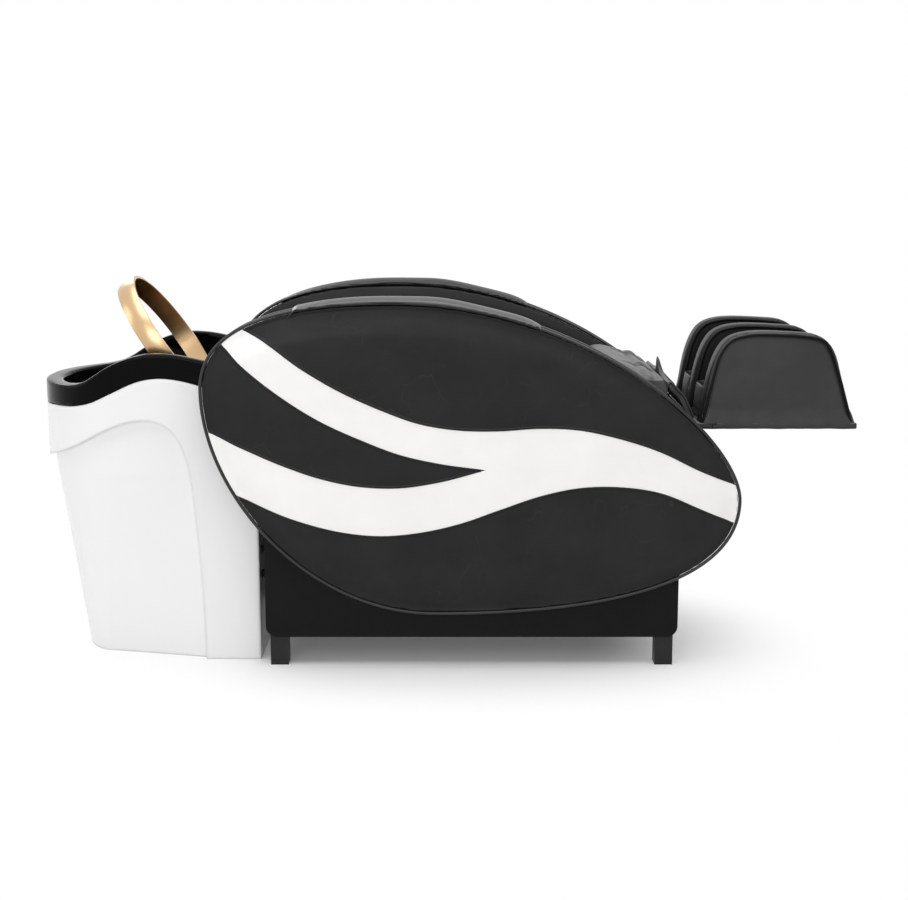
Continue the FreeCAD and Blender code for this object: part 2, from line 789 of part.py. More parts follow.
wall = size.calf_wall.value
for name, middle in (("left", size.calf_half_width.value - wall / 2), ("middle", 0),
                     ("right", wall / 2 - size.calf_half_width.value)):
    shape = calf_profile(middle - wall / 2, wall)
    edges = [edge for edge in shape.Edges if edge.Curve.TypeId == "Part::GeomBSplineCurve"]
    shape = clear_of_tray(shape.makeFillet(size.calf_wall_edge.value, edges))
    keep(formed(f"calf_wall_{name}", shape), f"calf_wall_{name}")

gap = size.board_gap.value
for side, sign in SIDES:
    start = wall / 2 + gap
    depth = size.calf_half_width.value - 1.5 * wall - 2 * gap
    low_y = start if sign > 0 else -start - depth
    shape = calf_profile(low_y, depth)
    shape.scale(1 - size.calf_floor_inset.value / size.calf_length.value, Vector(
        size.calf_head.value + size.calf_length.value / 2, low_y + depth / 2, size.calf_bottom.value))
    bounds = Part.makeBox(
        size.calf_length.value, depth, size.calf_floor_top.value - float(tray_top),
        Vector(size.calf_head.value, low_y, float(tray_top)))
    keep(formed(f"calf_floor_{side}", shape.common(bounds)), f"calf_floor_{side}")

# Flap that closes the gap between the seat and the calf unit
FLAP_SHARES = [(0.0, 1.0), (0.36, 0.86), (0.86, 0.48), (1.0, 0.0)]
flap_start = size.seat_foot + size.board_gap
flap_run = size.calf_pivot_x - flap_start - size.flap_thickness
flap_low = size.calf_pivot_z + size.hinge_eye + size.flap_thickness
flap_rise = cushion_z[1] - size.seat_nose - size.flap_thickness - flap_low
flap_points = [(flap_start + along_share * flap_run, flap_low + up_share * flap_rise)
               for along_share, up_share in FLAP_SHARES]
flap_points += [(x + (size.flap_thickness if x.value > flap_start.value else zero),
                 z + (size.flap_thickness if z.value > flap_low.value else zero))
                for x, z in reversed(flap_points)]
keep(plate("seat_flap", "XZ", flap_points, (-size.flap_half_width, size.flap_half_width)), "seat_flap")

# Pedestal and basin


OVAL_HANDLE_SHARE = 0.5523


def plan_wire(z, head, foot, head_half, foot_half, oval):
    """A closed plan outline: flat at the foot end, with half an oval at the head end."""
    start_x = head + oval
    left = [
        Vector(foot, foot_half, z), Vector(start_x, head_half, z),
        Vector(start_x - OVAL_HANDLE_SHARE * oval, head_half, z),
        Vector(head, OVAL_HANDLE_SHARE * head_half, z), Vector(head, 0, z),
    ]
    right = [Vector(point.x, -point.y, z) for point in left]
    ends = []
    for poles in (left[1:], right[:0:-1]):
        curve = Part.BezierCurve()
        curve.setPoles(poles)
        ends.append(curve.toShape())
    return Part.Wire([
        Part.makeLine(right[0], left[0]),
        Part.makeLine(left[0], left[1]),
        *ends,
        Part.makeLine(right[1], right[0]),
    ])


head, foot = size.pedestal_head.value, size.pedestal_foot.value
half = size.pedestal_half_width.value
basin_foot = size.basin_foot.value
collar, step = size.pedestal_collar_bottom.value, size.pedestal_step.value
basin_length = basin_foot - head
oval = size.pedestal_oval.value


def pedestal_form(inset, low):
    """The pedestal's body as a stack of plan outlines, drawn in by a wall, from a low end up."""
    levels = [
        (low, size.pedestal_floor_head.value, size.pedestal_low_oval.value),
        (collar - size.pedestal_step_height.value, head + step, oval - step),
        (collar, head, oval),
        (size.cushion_top.value, head, oval),
    ]
    wires = [
        plan_wire(z, x + inset, foot - inset, half - inset, half - inset, length - inset)
        for z, x, length in levels
    ]
    return Part.makeLoft(wires, True, True)


# The basin's rim and the apron's lower edge seen from the side, in shares of the basin's length
# from its head end and of the cushion's height
RIM_SHARES = [
    (-0.114, 0.920), (0.000, 0.921), (0.099, 0.919), (0.170, 0.919), (0.241, 0.923),
    (0.308, 0.937), (0.351, 0.954), (0.394, 0.973), (0.475, 1.001), (0.554, 1.020), (0.633, 1.030),
    (0.712, 1.030), (0.789, 1.024), (0.868, 1.013), (1.000, 0.995), (1.108, 0.984),
]
APRON_SHARES = [
    (-0.114, 0.827), (0.000, 0.834), (0.089, 0.843), (0.164, 0.847), (0.235, 0.851),
    (0.302, 0.860), (0.347, 0.869), (0.389, 0.882), (0.471, 0.908), (0.550, 0.932), (0.629, 0.946),
    (0.684, 0.949), (0.748, 0.946), (0.824, 0.936), (0.886, 0.924), (1.000, 0.898), (1.108, 0.869),
]


def side_curve(shares, y):
    points = [Vector(head + x * basin_length, y, z * size.cushion_top.value) for x, z in shares]
    line = Part.BSplineCurve()
    line.interpolate(points)
    return line.toShape(), points


def space_above(shares):
    """All of the space above a line seen from the side."""
    y = 2 * half
    line, points = side_curve(shares, -y)
    high = 2 * size.cushion_top.value
    corners = [points[-1], Vector(points[-1].x, -y, high), Vector(points[0].x, -y, high), points[0]]
    wire = Part.Wire([line] + [Part.makeLine(corners[n], corners[n + 1]) for n in range(3)])
    return Part.Face(wire).extrude(Vector(0, 2 * y, 0))


# Under a soft arch on each side the body is set in, and it narrows towards the floor's head end
ARCH_SHARES = [
    (1.000, -0.06), (0.982, 0.36), (0.954, 0.63), (0.903, 0.868), (0.826, 0.965),
    (0.734, 1.0), (0.612, 1.0), (0.468, 0.965), (0.284, 0.895), (-0.022, 0.8), (-0.145, 0.76),
]
LOW_HEAD_HALF_SHARE, LOW_FOOT_HALF_SHARE = 0.75, 1.05
HIGH_HEAD_HALF_SHARE, HIGH_FOOT_HALF_SHARE = 0.95, 0.98


def arch_space(wall):
    """The space under the arch, across the whole pedestal."""
    y = -2 * half
    points = [Vector(head + x * (size.arch_length.value + wall), y, z * (size.arch_height.value + wall))
              for x, z in ARCH_SHARES]
    line = Part.BSplineCurve()
    line.interpolate(points)
    corner = Vector(points[-1].x, y, points[0].z)
    outline = Part.Wire([line.toShape(), Part.makeLine(points[-1], corner),
                         Part.makeLine(corner, points[0])])
    return Part.Face(outline).extrude(Vector(0, 4 * half, 0))


def set_in_form(inset):
    """The body under the arches."""
    low, high = size.pedestal_floor_head.value, head + step
    levels = [
        (0, low, LOW_HEAD_HALF_SHARE, LOW_FOOT_HALF_SHARE, size.pedestal_low_oval.value),
        (collar - size.pedestal_step_height.value, high, HIGH_HEAD_HALF_SHARE, HIGH_FOOT_HALF_SHARE,
         oval - step),
        (size.arch_height.value + 2 * step, high, HIGH_HEAD_HALF_SHARE, HIGH_FOOT_HALF_SHARE,
         oval - step),
    ]
    wires = [
        plan_wire(z, x + inset, foot - inset, head_share * half - inset, foot_share * half - inset,
                  length - inset)
        for z, x, head_share, foot_share, length in levels
    ]
    return Part.makeLoft(wires, True, True)


def pedestal_body(inset):
    full = pedestal_form(inset, 0)
    return full.cut(arch_space(inset)).fuse(set_in_form(inset).common(full))


shell = pedestal_body(0).cut(pedestal_body(size.pedestal_wall.value))
above_apron = space_above(APRON_SHARES)
shell = shell.cut(above_apron)
# Behind the basin the shell ends in a ledge that stays under the back's board
ledge_top = size.rail_bottom.value + size.pedestal_wall.value
behind = Part.makeBox(
    foot - basin_foot + step, 2 * half, size.cushion_top.value, Vector(basin_foot, -half, ledge_top))
shell = shell.cut(behind)
ledge = Part.makeBox(
    foot - basin_foot - size.pedestal_wall.value, 2 * (half - size.pedestal_wall.value),
    size.pedestal_wall.value,
    Vector(basin_foot, size.pedestal_wall.value - half, ledge_top - size.pedestal_wall.value))
shell = shell.fuse(ledge)
keep(formed("pedestal_shell", shell), "pedestal_shell")

# Basin: a rim and apron that follow the pedestal's top, with a bowl that hangs from them
rim_form = Part.makeLoft([
    plan_wire(z, head, basin_foot, half, half, oval)
    for z in (collar, 2 * size.cushion_top.value)
], True, True)
rim_form = rim_form.common(above_apron).cut(space_above(RIM_SHARES))

# Levels of the bowl's inside: height, head end, foot end, half width and oval end, in shares
BOWL_SHARES = [
    (0.0, 0.36, 0.60, 0.20, 0.20), (0.20, 0.20, 0.86, 0.58, 0.48), (0.55, 0.11, 0.974, 0.83, 0.62),
    (1.0, 0.070, 0.982, 0.885, 0.66),
]
bowl_low = size.basin_drain_z.value
bowl_high = size.cushion_top.value + size.basin_rim.value


def bowl_form(wall):
    """The bowl's inside, or with a wall its outside, as a loft of plan outlines."""
    wires = []
    for up, head_share, foot_share, half_share, oval_share in BOWL_SHARES:
        z = bowl_low + up * (bowl_high - bowl_low) - (wall if up == 0 else 0)
        wires.append(plan_wire(
            z, head + head_share * basin_length - wall, head + foot_share * basin_length + wall,
            half_share * half + wall, half_share * half + wall, oval_share * half + wall))
    return Part.makeLoft(wires, True, False)


drain = spot(size.basin_drain_x, size.basin_drain_z)
drain_radius = size.basin_drain_radius.value
basin_wall = size.basin_wall.value
hanging_bowl = bowl_form(basin_wall).cut(above_apron)
basin = rim_form.fuse(hanging_bowl).cut(bowl_form(0))
tail_radius = 0.7 * drain_radius
basin = basin.cut(cylinder(tail_radius, (-2 * basin_wall, basin_wall), drain, Vector(0, 0, 1)))

neck_half = size.neck_half_width.value
neck_bottom = size.neck_bottom.value
neck_pad = size.neck_pad.value
dip_radius = (neck_half ** 2 + size.neck_dip.value ** 2) / (2 * size.neck_dip.value)
dip_z = neck_bottom + neck_pad + dip_radius
dip_x = (basin_foot - neck_half, basin_foot + neck_half)
dip = cylinder(dip_radius, (0, dip_x[1] - dip_x[0]), Vector(dip_x[0], 0, dip_z), Vector(1, 0, 0))
basin = basin.cut(dip)
keep(formed("wash_basin", basin), "wash_basin")

neck_x = (basin_foot - 4 * neck_pad, basin_foot + neck_pad / 3)
neck_block = Part.makeBox(
    neck_x[1] - neck_x[0], 2 * neck_half, size.neck_dip.value + neck_pad / 2,
    Vector(neck_x[0], -neck_half, neck_bottom))
neck_top = cylinder(dip_radius - neck_pad, (0, dip_x[1] - dip_x[0]), Vector(dip_x[0], 0, dip_z),
                    Vector(1, 0, 0))
neck_shape = neck_block.cut(neck_top).cut(basin)
keep(formed("neck_rest", neck_shape), "neck_rest")

# Drain: a strainer in the bowl's floor and a pipe with a trap below it
strainer = cylinder(0.9 * drain_radius, (gap, basin_wall / 2), drain, Vector(0, 0, 1))
strainer = strainer.fuse(cylinder(
    tail_radius - gap, (-1.5 * basin_wall, gap), drain, Vector(0, 0, 1)))
STRAINER_HOLES = 8
hole_radius = 0.1 * drain_radius
for number in range(STRAINER_HOLES):
    turn = 2 * math.pi * number / STRAINER_HOLES
    place = drain + Vector(math.cos(turn), math.sin(turn), 0) * (0.45 * drain_radius)
    strainer = strainer.cut(cylinder(hole_radius, (-2 * basin_wall, basin_wall), place, Vector(0, 0, 1)))
keep(formed("drain_strainer", strainer), "drain_strainer")


def route(points, radius):
    """Straight runs joined by tangent arcs of one radius."""
    edges = []
    start = points[0]
    for before, corner, after in zip(points, points[1:], points[2:]):
        arrive = (corner - before).normalize()
        leave = (after - corner).normalize()
        turn = arrive.getAngle(leave)
        trim = radius * math.tan(turn / 2)
        arc_start, arc_end = corner - arrive * trim, corner + leave * trim
        inward = (leave - arrive).normalize()
        centre = corner + inward * (radius / math.cos(turn / 2))
        edges.append(Part.makeLine(start, arc_start))
        edges.append(Part.Arc(arc_start, centre - inward * radius, arc_end).toShape())
        start = arc_end
    edges.append(Part.makeLine(start, points[-1]))
    return Part.Wire(edges)


def pipe(points, radius, bend):
    """A solid tube along a route."""
    path = route(points, bend)
    circle = Part.Wire([Part.makeCircle(radius, points[0], points[1] - points[0])])
    tube = path.makePipeShell([circle], True, False)
    print(f"pipe volume {tube.Volume:.0f}, section times length "
          f"{math.pi * radius ** 2 * path.Length:.0f}")
    return tube


pipe_radius = size.pipe_radius.value
trap_run = 4 * pipe_radius
trap_top = float(drain.z) - 1.5 * basin_wall
floor_tray_top = size.tray_thickness.value
trap_points = [
    Vector(drain.x, 0, trap_top),
    Vector(drain.x, 0, trap_top - 3 * trap_run),
    Vector(drain.x + trap_run, 0, trap_top - 3 * trap_run),
    Vector(drain.x + trap_run, 0, trap_top - 1.5 * trap_run),
    Vector(drain.x + 2 * trap_run, 0, trap_top - 1.5 * trap_run),
    Vector(drain.x + 2 * trap_run, 0, floor_tray_top),
]
keep(formed("waste_trap", pipe(trap_points, pipe_radius, 0.45 * trap_run)), "waste_trap")

# Floor tray with the circulation pump and its hose
tray_x = (as_size(drain.x - trap_run), size.pedestal_foot - size.pedestal_wall)
tray_half = 0.6 * size.pedestal_half_width
keep(block("pedestal_tray", tray_x, (-tray_half, tray_half), (zero, size.tray_thickness)),
     "pedestal_tray")
pump_x = size.basin_foot - 0.2 * size.pump_radius
pump_y = 2.5 * size.pump_radius
pump_body = rod("pump_body", "z", pump_x, pump_y,
                (size.tray_thickness, size.tray_thickness + size.pump_height), size.pump_radius)
pump_port = rod("pump_port", "z", pump_x, pump_y,
                (size.tray_thickness + size.pump_height,
                 size.tray_thickness + size.pump_height + size.pump_radius), 1.5 * size.hose_radius)
keep(fuse("circulation_pump", pump_body, pump_port), "circulation_pump")

# Water ring, which tilts about a pin below its lowest point
lean = math.radians(RING_LEAN)
ring_down = Vector(math.cos(lean), 0, -math.sin(lean))
ring_low = spot(size.ring_bottom_x, size.ring_bottom_z)
ring_centre = ring_low - ring_down * size.ring_radius.value
ring_pivot = ring_low + ring_down * size.ring_pivot_drop.value
ring_radius, ring_half = size.ring_radius.value, size.ring_width.value / 2
ring_in = ring_radius - size.ring_thickness.value / 2
ring_out = ring_radius + size.ring_thickness.value / 2
ring_edge = ring_out - size.ring_crown.value
section = Part.Wire([
    Part.makeLine(Vector(ring_edge, 0, -ring_half), Vector(ring_in, 0, -ring_half)),
    Part.makeLine(Vector(ring_in, 0, -ring_half), Vector(ring_in, 0, ring_half)),
    Part.makeLine(Vector(ring_in, 0, ring_half), Vector(ring_edge, 0, ring_half)),
    Part.Arc(Vector(ring_edge, 0, ring_half), Vector(ring_out, 0, 0),
             Vector(ring_edge, 0, -ring_half)).toShape(),
])
ring = Part.Face(section).revolve(Vector(), Vector(0, 0, 1), 360)
nozzles = round(float(size.ring_nozzles))
for number in range(nozzles):
    turn = 2 * math.pi * (number + 0.5) / nozzles
    outward = Vector(math.cos(turn), math.sin(turn), 0)
    ring = ring.cut(cylinder(
        size.nozzle_radius.value, (ring_in - size.nozzle_depth.value, ring_in + size.nozzle_depth.value),
        Vector(), outward))
lug_y = (-size.ring_lug_half.value, size.ring_lug_half.value)
eye = size.ring_eye.value
pivot_radius = ring_radius + size.ring_pivot_drop.value
ring_lug = Part.makeBox(
    pivot_radius - ring_radius, lug_y[1] - lug_y[0], 2 * eye, Vector(ring_radius, lug_y[0], -eye))
ring_lug = ring_lug.fuse(cylinder(eye, lug_y, Vector(pivot_radius, 0, 0)))
ring_hollow = Part.makeCylinder(ring_in, 4 * ring_half, Vector(0, 0, -2 * ring_half))
ring = ring.fuse(ring_lug.cut(ring_hollow))
ring = ring.cut(cylinder(size.ring_pin.value + size.hinge_gap.value,
                         (2 * lug_y[0], 2 * lug_y[1]), Vector(pivot_radius, 0, 0)))
ring.rotate(Vector(), Vector(0, 1, 0), RING_LEAN)
ring.translate(ring_centre)
keep(formed("water_ring", ring), "water_ring")

ear_start = size.ring_lug_half.value + size.running_gap.value
ear_end = ear_start + size.ring_ear.value
ring_bracket = cylinder(size.ring_pin.value, (-ear_end, ear_end), ring_pivot)
for y in ((ear_start, ear_end), (-ear_end, -ear_start)):
    ring_bracket = ring_bracket.fuse(cylinder(eye, y, ring_pivot))
    ring_bracket = ring_bracket.fuse(Part.makeBox(
        basin_foot - ring_pivot.x, y[1] - y[0], 2 * eye, Vector(ring_pivot.x, y[0], ring_pivot.z - eye)))
bowl_side = Part.makeBox(
    basin_foot - ring_pivot.x, 4 * ear_end, 8 * eye,
    Vector(ring_pivot.x, -2 * ear_end, ring_pivot.z - 4 * eye)).cut(bowl_form(0))
keep(formed("ring_bracket", ring_bracket.cut(bowl_side)), "ring_bracket")

# Hose from the pump to the ring's bracket, behind the bowl's wall
hose_radius = size.hose_radius.value
pump_top = Vector(float(pump_x), float(pump_y),
                  float(size.tray_thickness + size.pump_height + size.pump_radius))
hose_x = (basin_foot + foot) / 2
hose_z = ledge_top - 5 * hose_radius
hose_points = [
    pump_top,
    pump_top + Vector(0, 0, 2 * size.pump_radius.value),
    Vector(hose_x, ear_end, pump_top.z + 5 * size.pump_radius.value),
    Vector(hose_x, ear_end, hose_z),
    Vector(basin_foot - 10 * basin_wall, ear_end, hose_z),
]
feed_hose = pipe(hose_points, hose_radius, 3 * hose_radius)
keep(formed("feed_hose", feed_hose.cut(bowl_form(basin_wall))), "feed_hose")

# Links across the gap between the pedestal and the base box
bridge_x = (size.pedestal_foot, size.plinth_head)
link_z = size.spacer_z - 9 * size.spacer_radius
for place, z in (("upper", link_z), ("lower", link_z - 8 * size.hose_radius)):
    keep(rod(f"link_hose_{place}", "x", bridge_x, -size.spacer_y - 5 * size.spacer_radius, z,
             size.hose_radius), f"link_hose_{place}")
for side, sign in SIDES:
    keep(rod(f"spacer_{side}", "x", bridge_x, sign * size.spacer_y, size.spacer_z,
             size.spacer_radius), f"spacer_{side}")

# Power inlet with its rocker switch, on the foot end of the base box
plinth_foot = size.plinth_head + size.plinth_length
inlet_x = (plinth_foot - size.plinth_board - size.running_gap, plinth_foot + size.running_gap)
inlet_half = 0.5 * size.inlet_height
switch_side = size.inlet_width + size.switch_width
module_y = (-size.inlet_y - 0.5 * size.inlet_width, -size.inlet_y - 0.5 * size.inlet_width
            + switch_side + size.switch_width)
module_z = (size.inlet_z - inlet_half - size.running_gap * 4, size.inlet_z + inlet_half
            + size.running_gap * 4)
module = block("inlet_body", (inlet_x[0] - size.inlet_depth, inlet_x[1]), module_y, module_z)
socket_y = (module_y[0] + size.switch_gap * 10, module_y[0] + size.inlet_width - size.switch_gap * 10)
socket = block("inlet_socket", (inlet_x[1] - size.inlet_depth, inlet_x[1] + size.overrun), socket_y,
               (size.inlet_z - 0.36 * size.inlet_height, size.inlet_z + 0.36 * size.inlet_height))
rocker_y = (module_y[1] - 1.5 * size.switch_width, module_y[1] - 0.5 * size.switch_width)
rocker_half = 0.5 * size.switch_height
pocket = block(
    "switch_pocket", (inlet_x[1] - size.inlet_depth, inlet_x[1] + size.overrun),
    (rocker_y[0] - size.switch_gap, rocker_y[1] + size.switch_gap),
    (size.inlet_z - rocker_half, size.inlet_z + rocker_half))
keep(cut("power_inlet", module, socket, pocket), "power_inlet")
inlet_hole = block("inlet_hole", (inlet_x[0] - size.inlet_depth, inlet_x[1]), module_y, module_z)
keep(cut("plinth_box", plinth_outside, plinth_inside, *leg_holes, inlet_hole), "plinth_box")
rocker_x = (inlet_x[1] - 0.8 * size.inlet_depth, inlet_x[1] + size.running_gap)
rocker_play = 2 * size.running_gap
keep(block("power_switch", rocker_x, rocker_y,
           (size.inlet_z - rocker_half + rocker_play, size.inlet_z + rocker_half - rocker_play)),
     "power_switch")

# Checks, then the files
doc.recompute()
for item in doc.Objects:
    if any(word in item.State for word in ("Invalid", "Error")):
        raise RuntimeError(f"{item.Label} failed: {item.State}")
for part in parts:
    if part.Shape.isNull() or not part.Shape.isValid():
        raise RuntimeError(f"{part.Label} has no valid shape")
    if len(part.Shape.Solids) != 1:
        raise RuntimeError(f"{part.Label} has {len(part.Shape.Solids)} solids")
os.makedirs("parts", exist_ok=True)
for part in parts:
    part.Shape.exportStep(f"parts/{part.Label}.step")
print(f"{len(parts)} sub-parts written")
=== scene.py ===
import json
import math

import bmesh
import bpy
import numpy as np
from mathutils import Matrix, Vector, noise
from mathutils.bvhtree import BVHTree


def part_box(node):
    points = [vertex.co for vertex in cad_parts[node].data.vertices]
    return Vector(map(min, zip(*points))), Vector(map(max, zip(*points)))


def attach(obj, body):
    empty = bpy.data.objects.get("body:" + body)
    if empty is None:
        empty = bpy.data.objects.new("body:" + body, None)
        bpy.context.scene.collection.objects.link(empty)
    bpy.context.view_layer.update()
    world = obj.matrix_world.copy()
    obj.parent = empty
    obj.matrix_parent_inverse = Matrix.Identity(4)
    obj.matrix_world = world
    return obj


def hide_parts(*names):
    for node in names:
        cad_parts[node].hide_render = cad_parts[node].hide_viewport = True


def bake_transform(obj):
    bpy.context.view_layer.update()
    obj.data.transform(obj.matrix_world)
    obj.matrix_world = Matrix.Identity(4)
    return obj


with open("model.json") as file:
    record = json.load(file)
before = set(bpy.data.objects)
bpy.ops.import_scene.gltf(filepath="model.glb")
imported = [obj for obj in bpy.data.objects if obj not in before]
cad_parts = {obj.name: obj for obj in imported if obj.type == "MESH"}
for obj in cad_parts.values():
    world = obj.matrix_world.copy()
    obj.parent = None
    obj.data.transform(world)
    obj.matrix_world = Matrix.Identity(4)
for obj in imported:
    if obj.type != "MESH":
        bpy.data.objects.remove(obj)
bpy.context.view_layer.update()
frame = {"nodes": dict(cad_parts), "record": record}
nodes = frame["nodes"]
SLOTS = {part["node"]: part["material_slot"] for part in frame["record"]["subparts"]}

# Camera, floor and light

CAMERA_PLACE = (0.030, -4.057, 1.215)
CAMERA_PITCH = 10.11
CAMERA_LENS = 60.26
SOFTBOXES = (
    # name, place, turn about X, Y and Z in degrees, width, height, watts
    ("top_softbox", (0.0, -0.5, 3.2), (0, 0, 0), 4.4, 3.2, 112),
    ("front_softbox", (-1.2, -4.6, 2.3), (68, 0, -14), 2.4, 1.8, 34),
    ("head_softbox", (-4.2, -0.6, 1.9), (72, 0, -82), 1.6, 2.0, 12),
    ("back_softbox", (-1.9, 2.9, 2.4), (64, 0, 206), 1.0, 1.3, 18),
)
# How much of the white surroundings lights the bed, against 1 for what is seen
LIGHT_SHARE = 0.45
# The floor's half size, and how its white glow grows away from the bed
FLOOR_HALF = 14
FLOOR_STOPS = [(0.19, 0.10), (0.52, 1.0)]


def aimed(data, place, turn):
    """A camera or lamp at a place, turned by degrees about X, Y and Z."""
    holder = bpy.data.objects.new(data.name, data)
    bpy.context.scene.collection.objects.link(holder)
    holder.location = place
    holder.rotation_euler = [math.radians(angle) for angle in turn]
    return holder


def set_camera():
    data = bpy.data.cameras.new("front_camera")
    data.sensor_width = 36.0
    data.lens = CAMERA_LENS
    data.clip_end = 60.0
    bpy.context.scene.camera = aimed(data, CAMERA_PLACE, (90 - CAMERA_PITCH, 0, 0))


def set_lights():
    for name, place, turn, width, height, watts in SOFTBOXES:
        data = bpy.data.lights.new(name, "AREA")
        data.shape = "RECTANGLE"
        data.size, data.size_y = width, height
        data.energy = watts
        aimed(data, place, turn)


class Tree:
    """A node tree, put together from inputs that are numbers, colours or other nodes' outputs."""

    def __init__(self, owner):
        owner.use_nodes = True
        self.nodes = owner.node_tree.nodes
        self.links = owner.node_tree.links

    def feed(self, socket, value):
        if isinstance(value, bpy.types.NodeSocket):
            self.links.new(value, socket)
        elif hasattr(socket.default_value, "__len__") and not hasattr(value, "__len__"):
            socket.default_value = [value] * len(socket.default_value)
        elif hasattr(value, "__len__") and len(value) == 3 and len(socket.default_value) == 4:
            socket.default_value = (*value, 1.0)
        else:
            socket.default_value = value

    def put(self, kind, inputs=None, output=0, **settings):
        """Adds a node and returns one of its outputs."""
        node = self.nodes.new(kind)
        for key, value in settings.items():
            setattr(node, key, value)
        for key, value in (inputs or {}).items():
            self.feed(node.inputs[key], value)
        return node.outputs[output]

    def math(self, operation, first, second=0.0, clamp=False):
        return self.put("ShaderNodeMath", {0: first, 1: second}, operation=operation, use_clamp=clamp)

    def ramp(self, factor, stops):
        """A colour ramp from a share to a grey level or colour at each stop."""
        node = self.nodes.new("ShaderNodeValToRGB")
        self.feed(node.inputs[0], factor)
        elements = node.color_ramp.elements
        while len(elements) < len(stops):
            elements.new(0.5)
        for element, (share, level) in zip(elements, stops):
            element.position = share
            element.color = (*level, 1.0) if hasattr(level, "__len__") else (level, level, level, 1.0)
        return node.outputs[0]


class Finish(Tree):
    """A material with its shader, its object coordinates and a stack of bumps."""

    def __init__(self, name, colour, roughness, metallic=0.0, specular=0.5):
        self.material = bpy.data.materials.new(name)
        super().__init__(self.material)
        self.shader = self.nodes["Principled BSDF"]
        self.place = self.put("ShaderNodeTexCoord", output=3)
        self.normal = None
        self.set(**{"Base Color": colour, "Roughness": roughness, "Metallic": metallic,
                    "Specular IOR Level": specular})

    def set(self, **inputs):
        for key, value in inputs.items():
            self.feed(self.shader.inputs[key], value)
        return self

    def scaled(self, factors):
        """Object coordinates, stretched by a factor on each axis."""
        return self.put("ShaderNodeMapping", {"Vector": self.place, "Scale": factors})

    def grain(self, scale, detail=3.0, rough=0.6, place=None):
        return self.put("ShaderNodeTexNoise", {
            "Vector": place or self.place, "Scale": scale, "Detail": detail, "Roughness": rough})

    def cells(self, scale, feature="F1", place=None):
        return self.put("ShaderNodeTexVoronoi", {"Vector": place or self.place, "Scale": scale},
                        feature=feature)

    def bump(self, height, depth, strength=1.0):
        """Adds a bump, a depth in metres, on top of the ones so far."""
        inputs = {"Height": height, "Distance": depth, "Strength": strength}
        if self.normal is not None:
            inputs["Normal"] = self.normal
        self.normal = self.put("ShaderNodeBump", inputs)
        self.set(Normal=self.normal)
        return self

    def between(self, share, low, high):
        """A mix of two numbers or colours by a share."""
        if hasattr(high, "__len__"):
            return self.put("ShaderNodeMix", {0: share, 6: low, 7: high}, output=2, data_type="RGBA")
        return self.put("ShaderNodeMix", {0: share, 2: low, 3: high})


def seen_share(tree):
    """1 where the camera, a mirror or glass looks, and 0 where only light does."""
    path = tree.nodes.new("ShaderNodeLightPath")
    share = tree.math("ADD", path.outputs["Is Camera Ray"], path.outputs["Is Transmission Ray"])
    return tree.math("ADD", share, path.outputs["Is Glossy Ray"], clamp=True)


def set_world():
    """White all round, with less of it falling on the bed than the camera sees."""
    world = bpy.data.worlds.new("studio")
    bpy.context.scene.world = world
    tree = Tree(world)
    background = tree.nodes["Background"]
    tree.feed(background.inputs["Color"], (1.0, 1.0, 1.0))
    level = tree.put("ShaderNodeMix", {0: seen_share(tree), 2: LIGHT_SHARE, 3: 1.0})
    tree.feed(background.inputs["Strength"], level)


def lay_floor():
    """A pale floor that takes the bed's shadow and fades to plain white away from it."""
    bm = bmesh.new()
    bmesh.ops.create_grid(bm, x_segments=1, y_segments=1, size=FLOOR_HALF)
    mesh = bpy.data.meshes.new("studio_floor")
    bm.to_mesh(mesh)
    bm.free()
    floor = bpy.data.objects.new("studio_floor", mesh)
    bpy.context.scene.collection.objects.link(floor)
    finish = Finish("studio_floor", (0.92, 0.92, 0.92), 0.6, specular=0.1)
    glow = finish.put("ShaderNodeEmission", {"Color": (1.0, 1.0, 1.0), "Strength": 1.0})
    place = finish.put("ShaderNodeMapping", {
        "Vector": finish.place, "Location": (0.0, 0.1, 0.0), "Scale": (0.5, 0.62, 1.0)})
    away = finish.put("ShaderNodeVectorMath", {0: place}, output=1, operation="LENGTH")
    fade = finish.ramp(away, FLOOR_STOPS)
    finish.nodes[-1].color_ramp.interpolation = "EASE"
    share = finish.math("MULTIPLY", seen_share(finish), fade)
    mixed = finish.put("ShaderNodeMixShader", {0: share, 1: finish.shader.outputs[0], 2: glow})
    finish.feed(finish.nodes["Material Output"].inputs["Surface"], mixed)
    mesh.materials.append(finish.material)


bpy.context.scene.view_settings.view_transform = "Standard"
set_camera()
set_lights()
set_world()
lay_floor()

# Finishes


def hairlines(finish, scale):
    """Faint curved hairlines in a few patches, as on leather that has been handled."""
    bent = finish.put("ShaderNodeTexNoise", {
        "Vector": finish.place, "Scale": scale * 0.6, "Detail": 2.0}, output=1)
    bent = finish.put("ShaderNodeMix", {0: 0.16, 4: finish.place, 5: bent}, output=1,
                      data_type="VECTOR")
    lines = finish.cells(scale, "DISTANCE_TO_EDGE", bent)
    lines = finish.ramp(lines, [(0.0, 1.0), (0.010, 0.0)])
    patches = finish.ramp(finish.grain(scale * 0.45, 2.0), [(0.50, 0.0), (0.66, 1.0)])
    return finish.math("MULTIPLY", lines, patches)


# How much a leather's roughness changes over its fine grain
GLOSS_SPREAD = 0.14


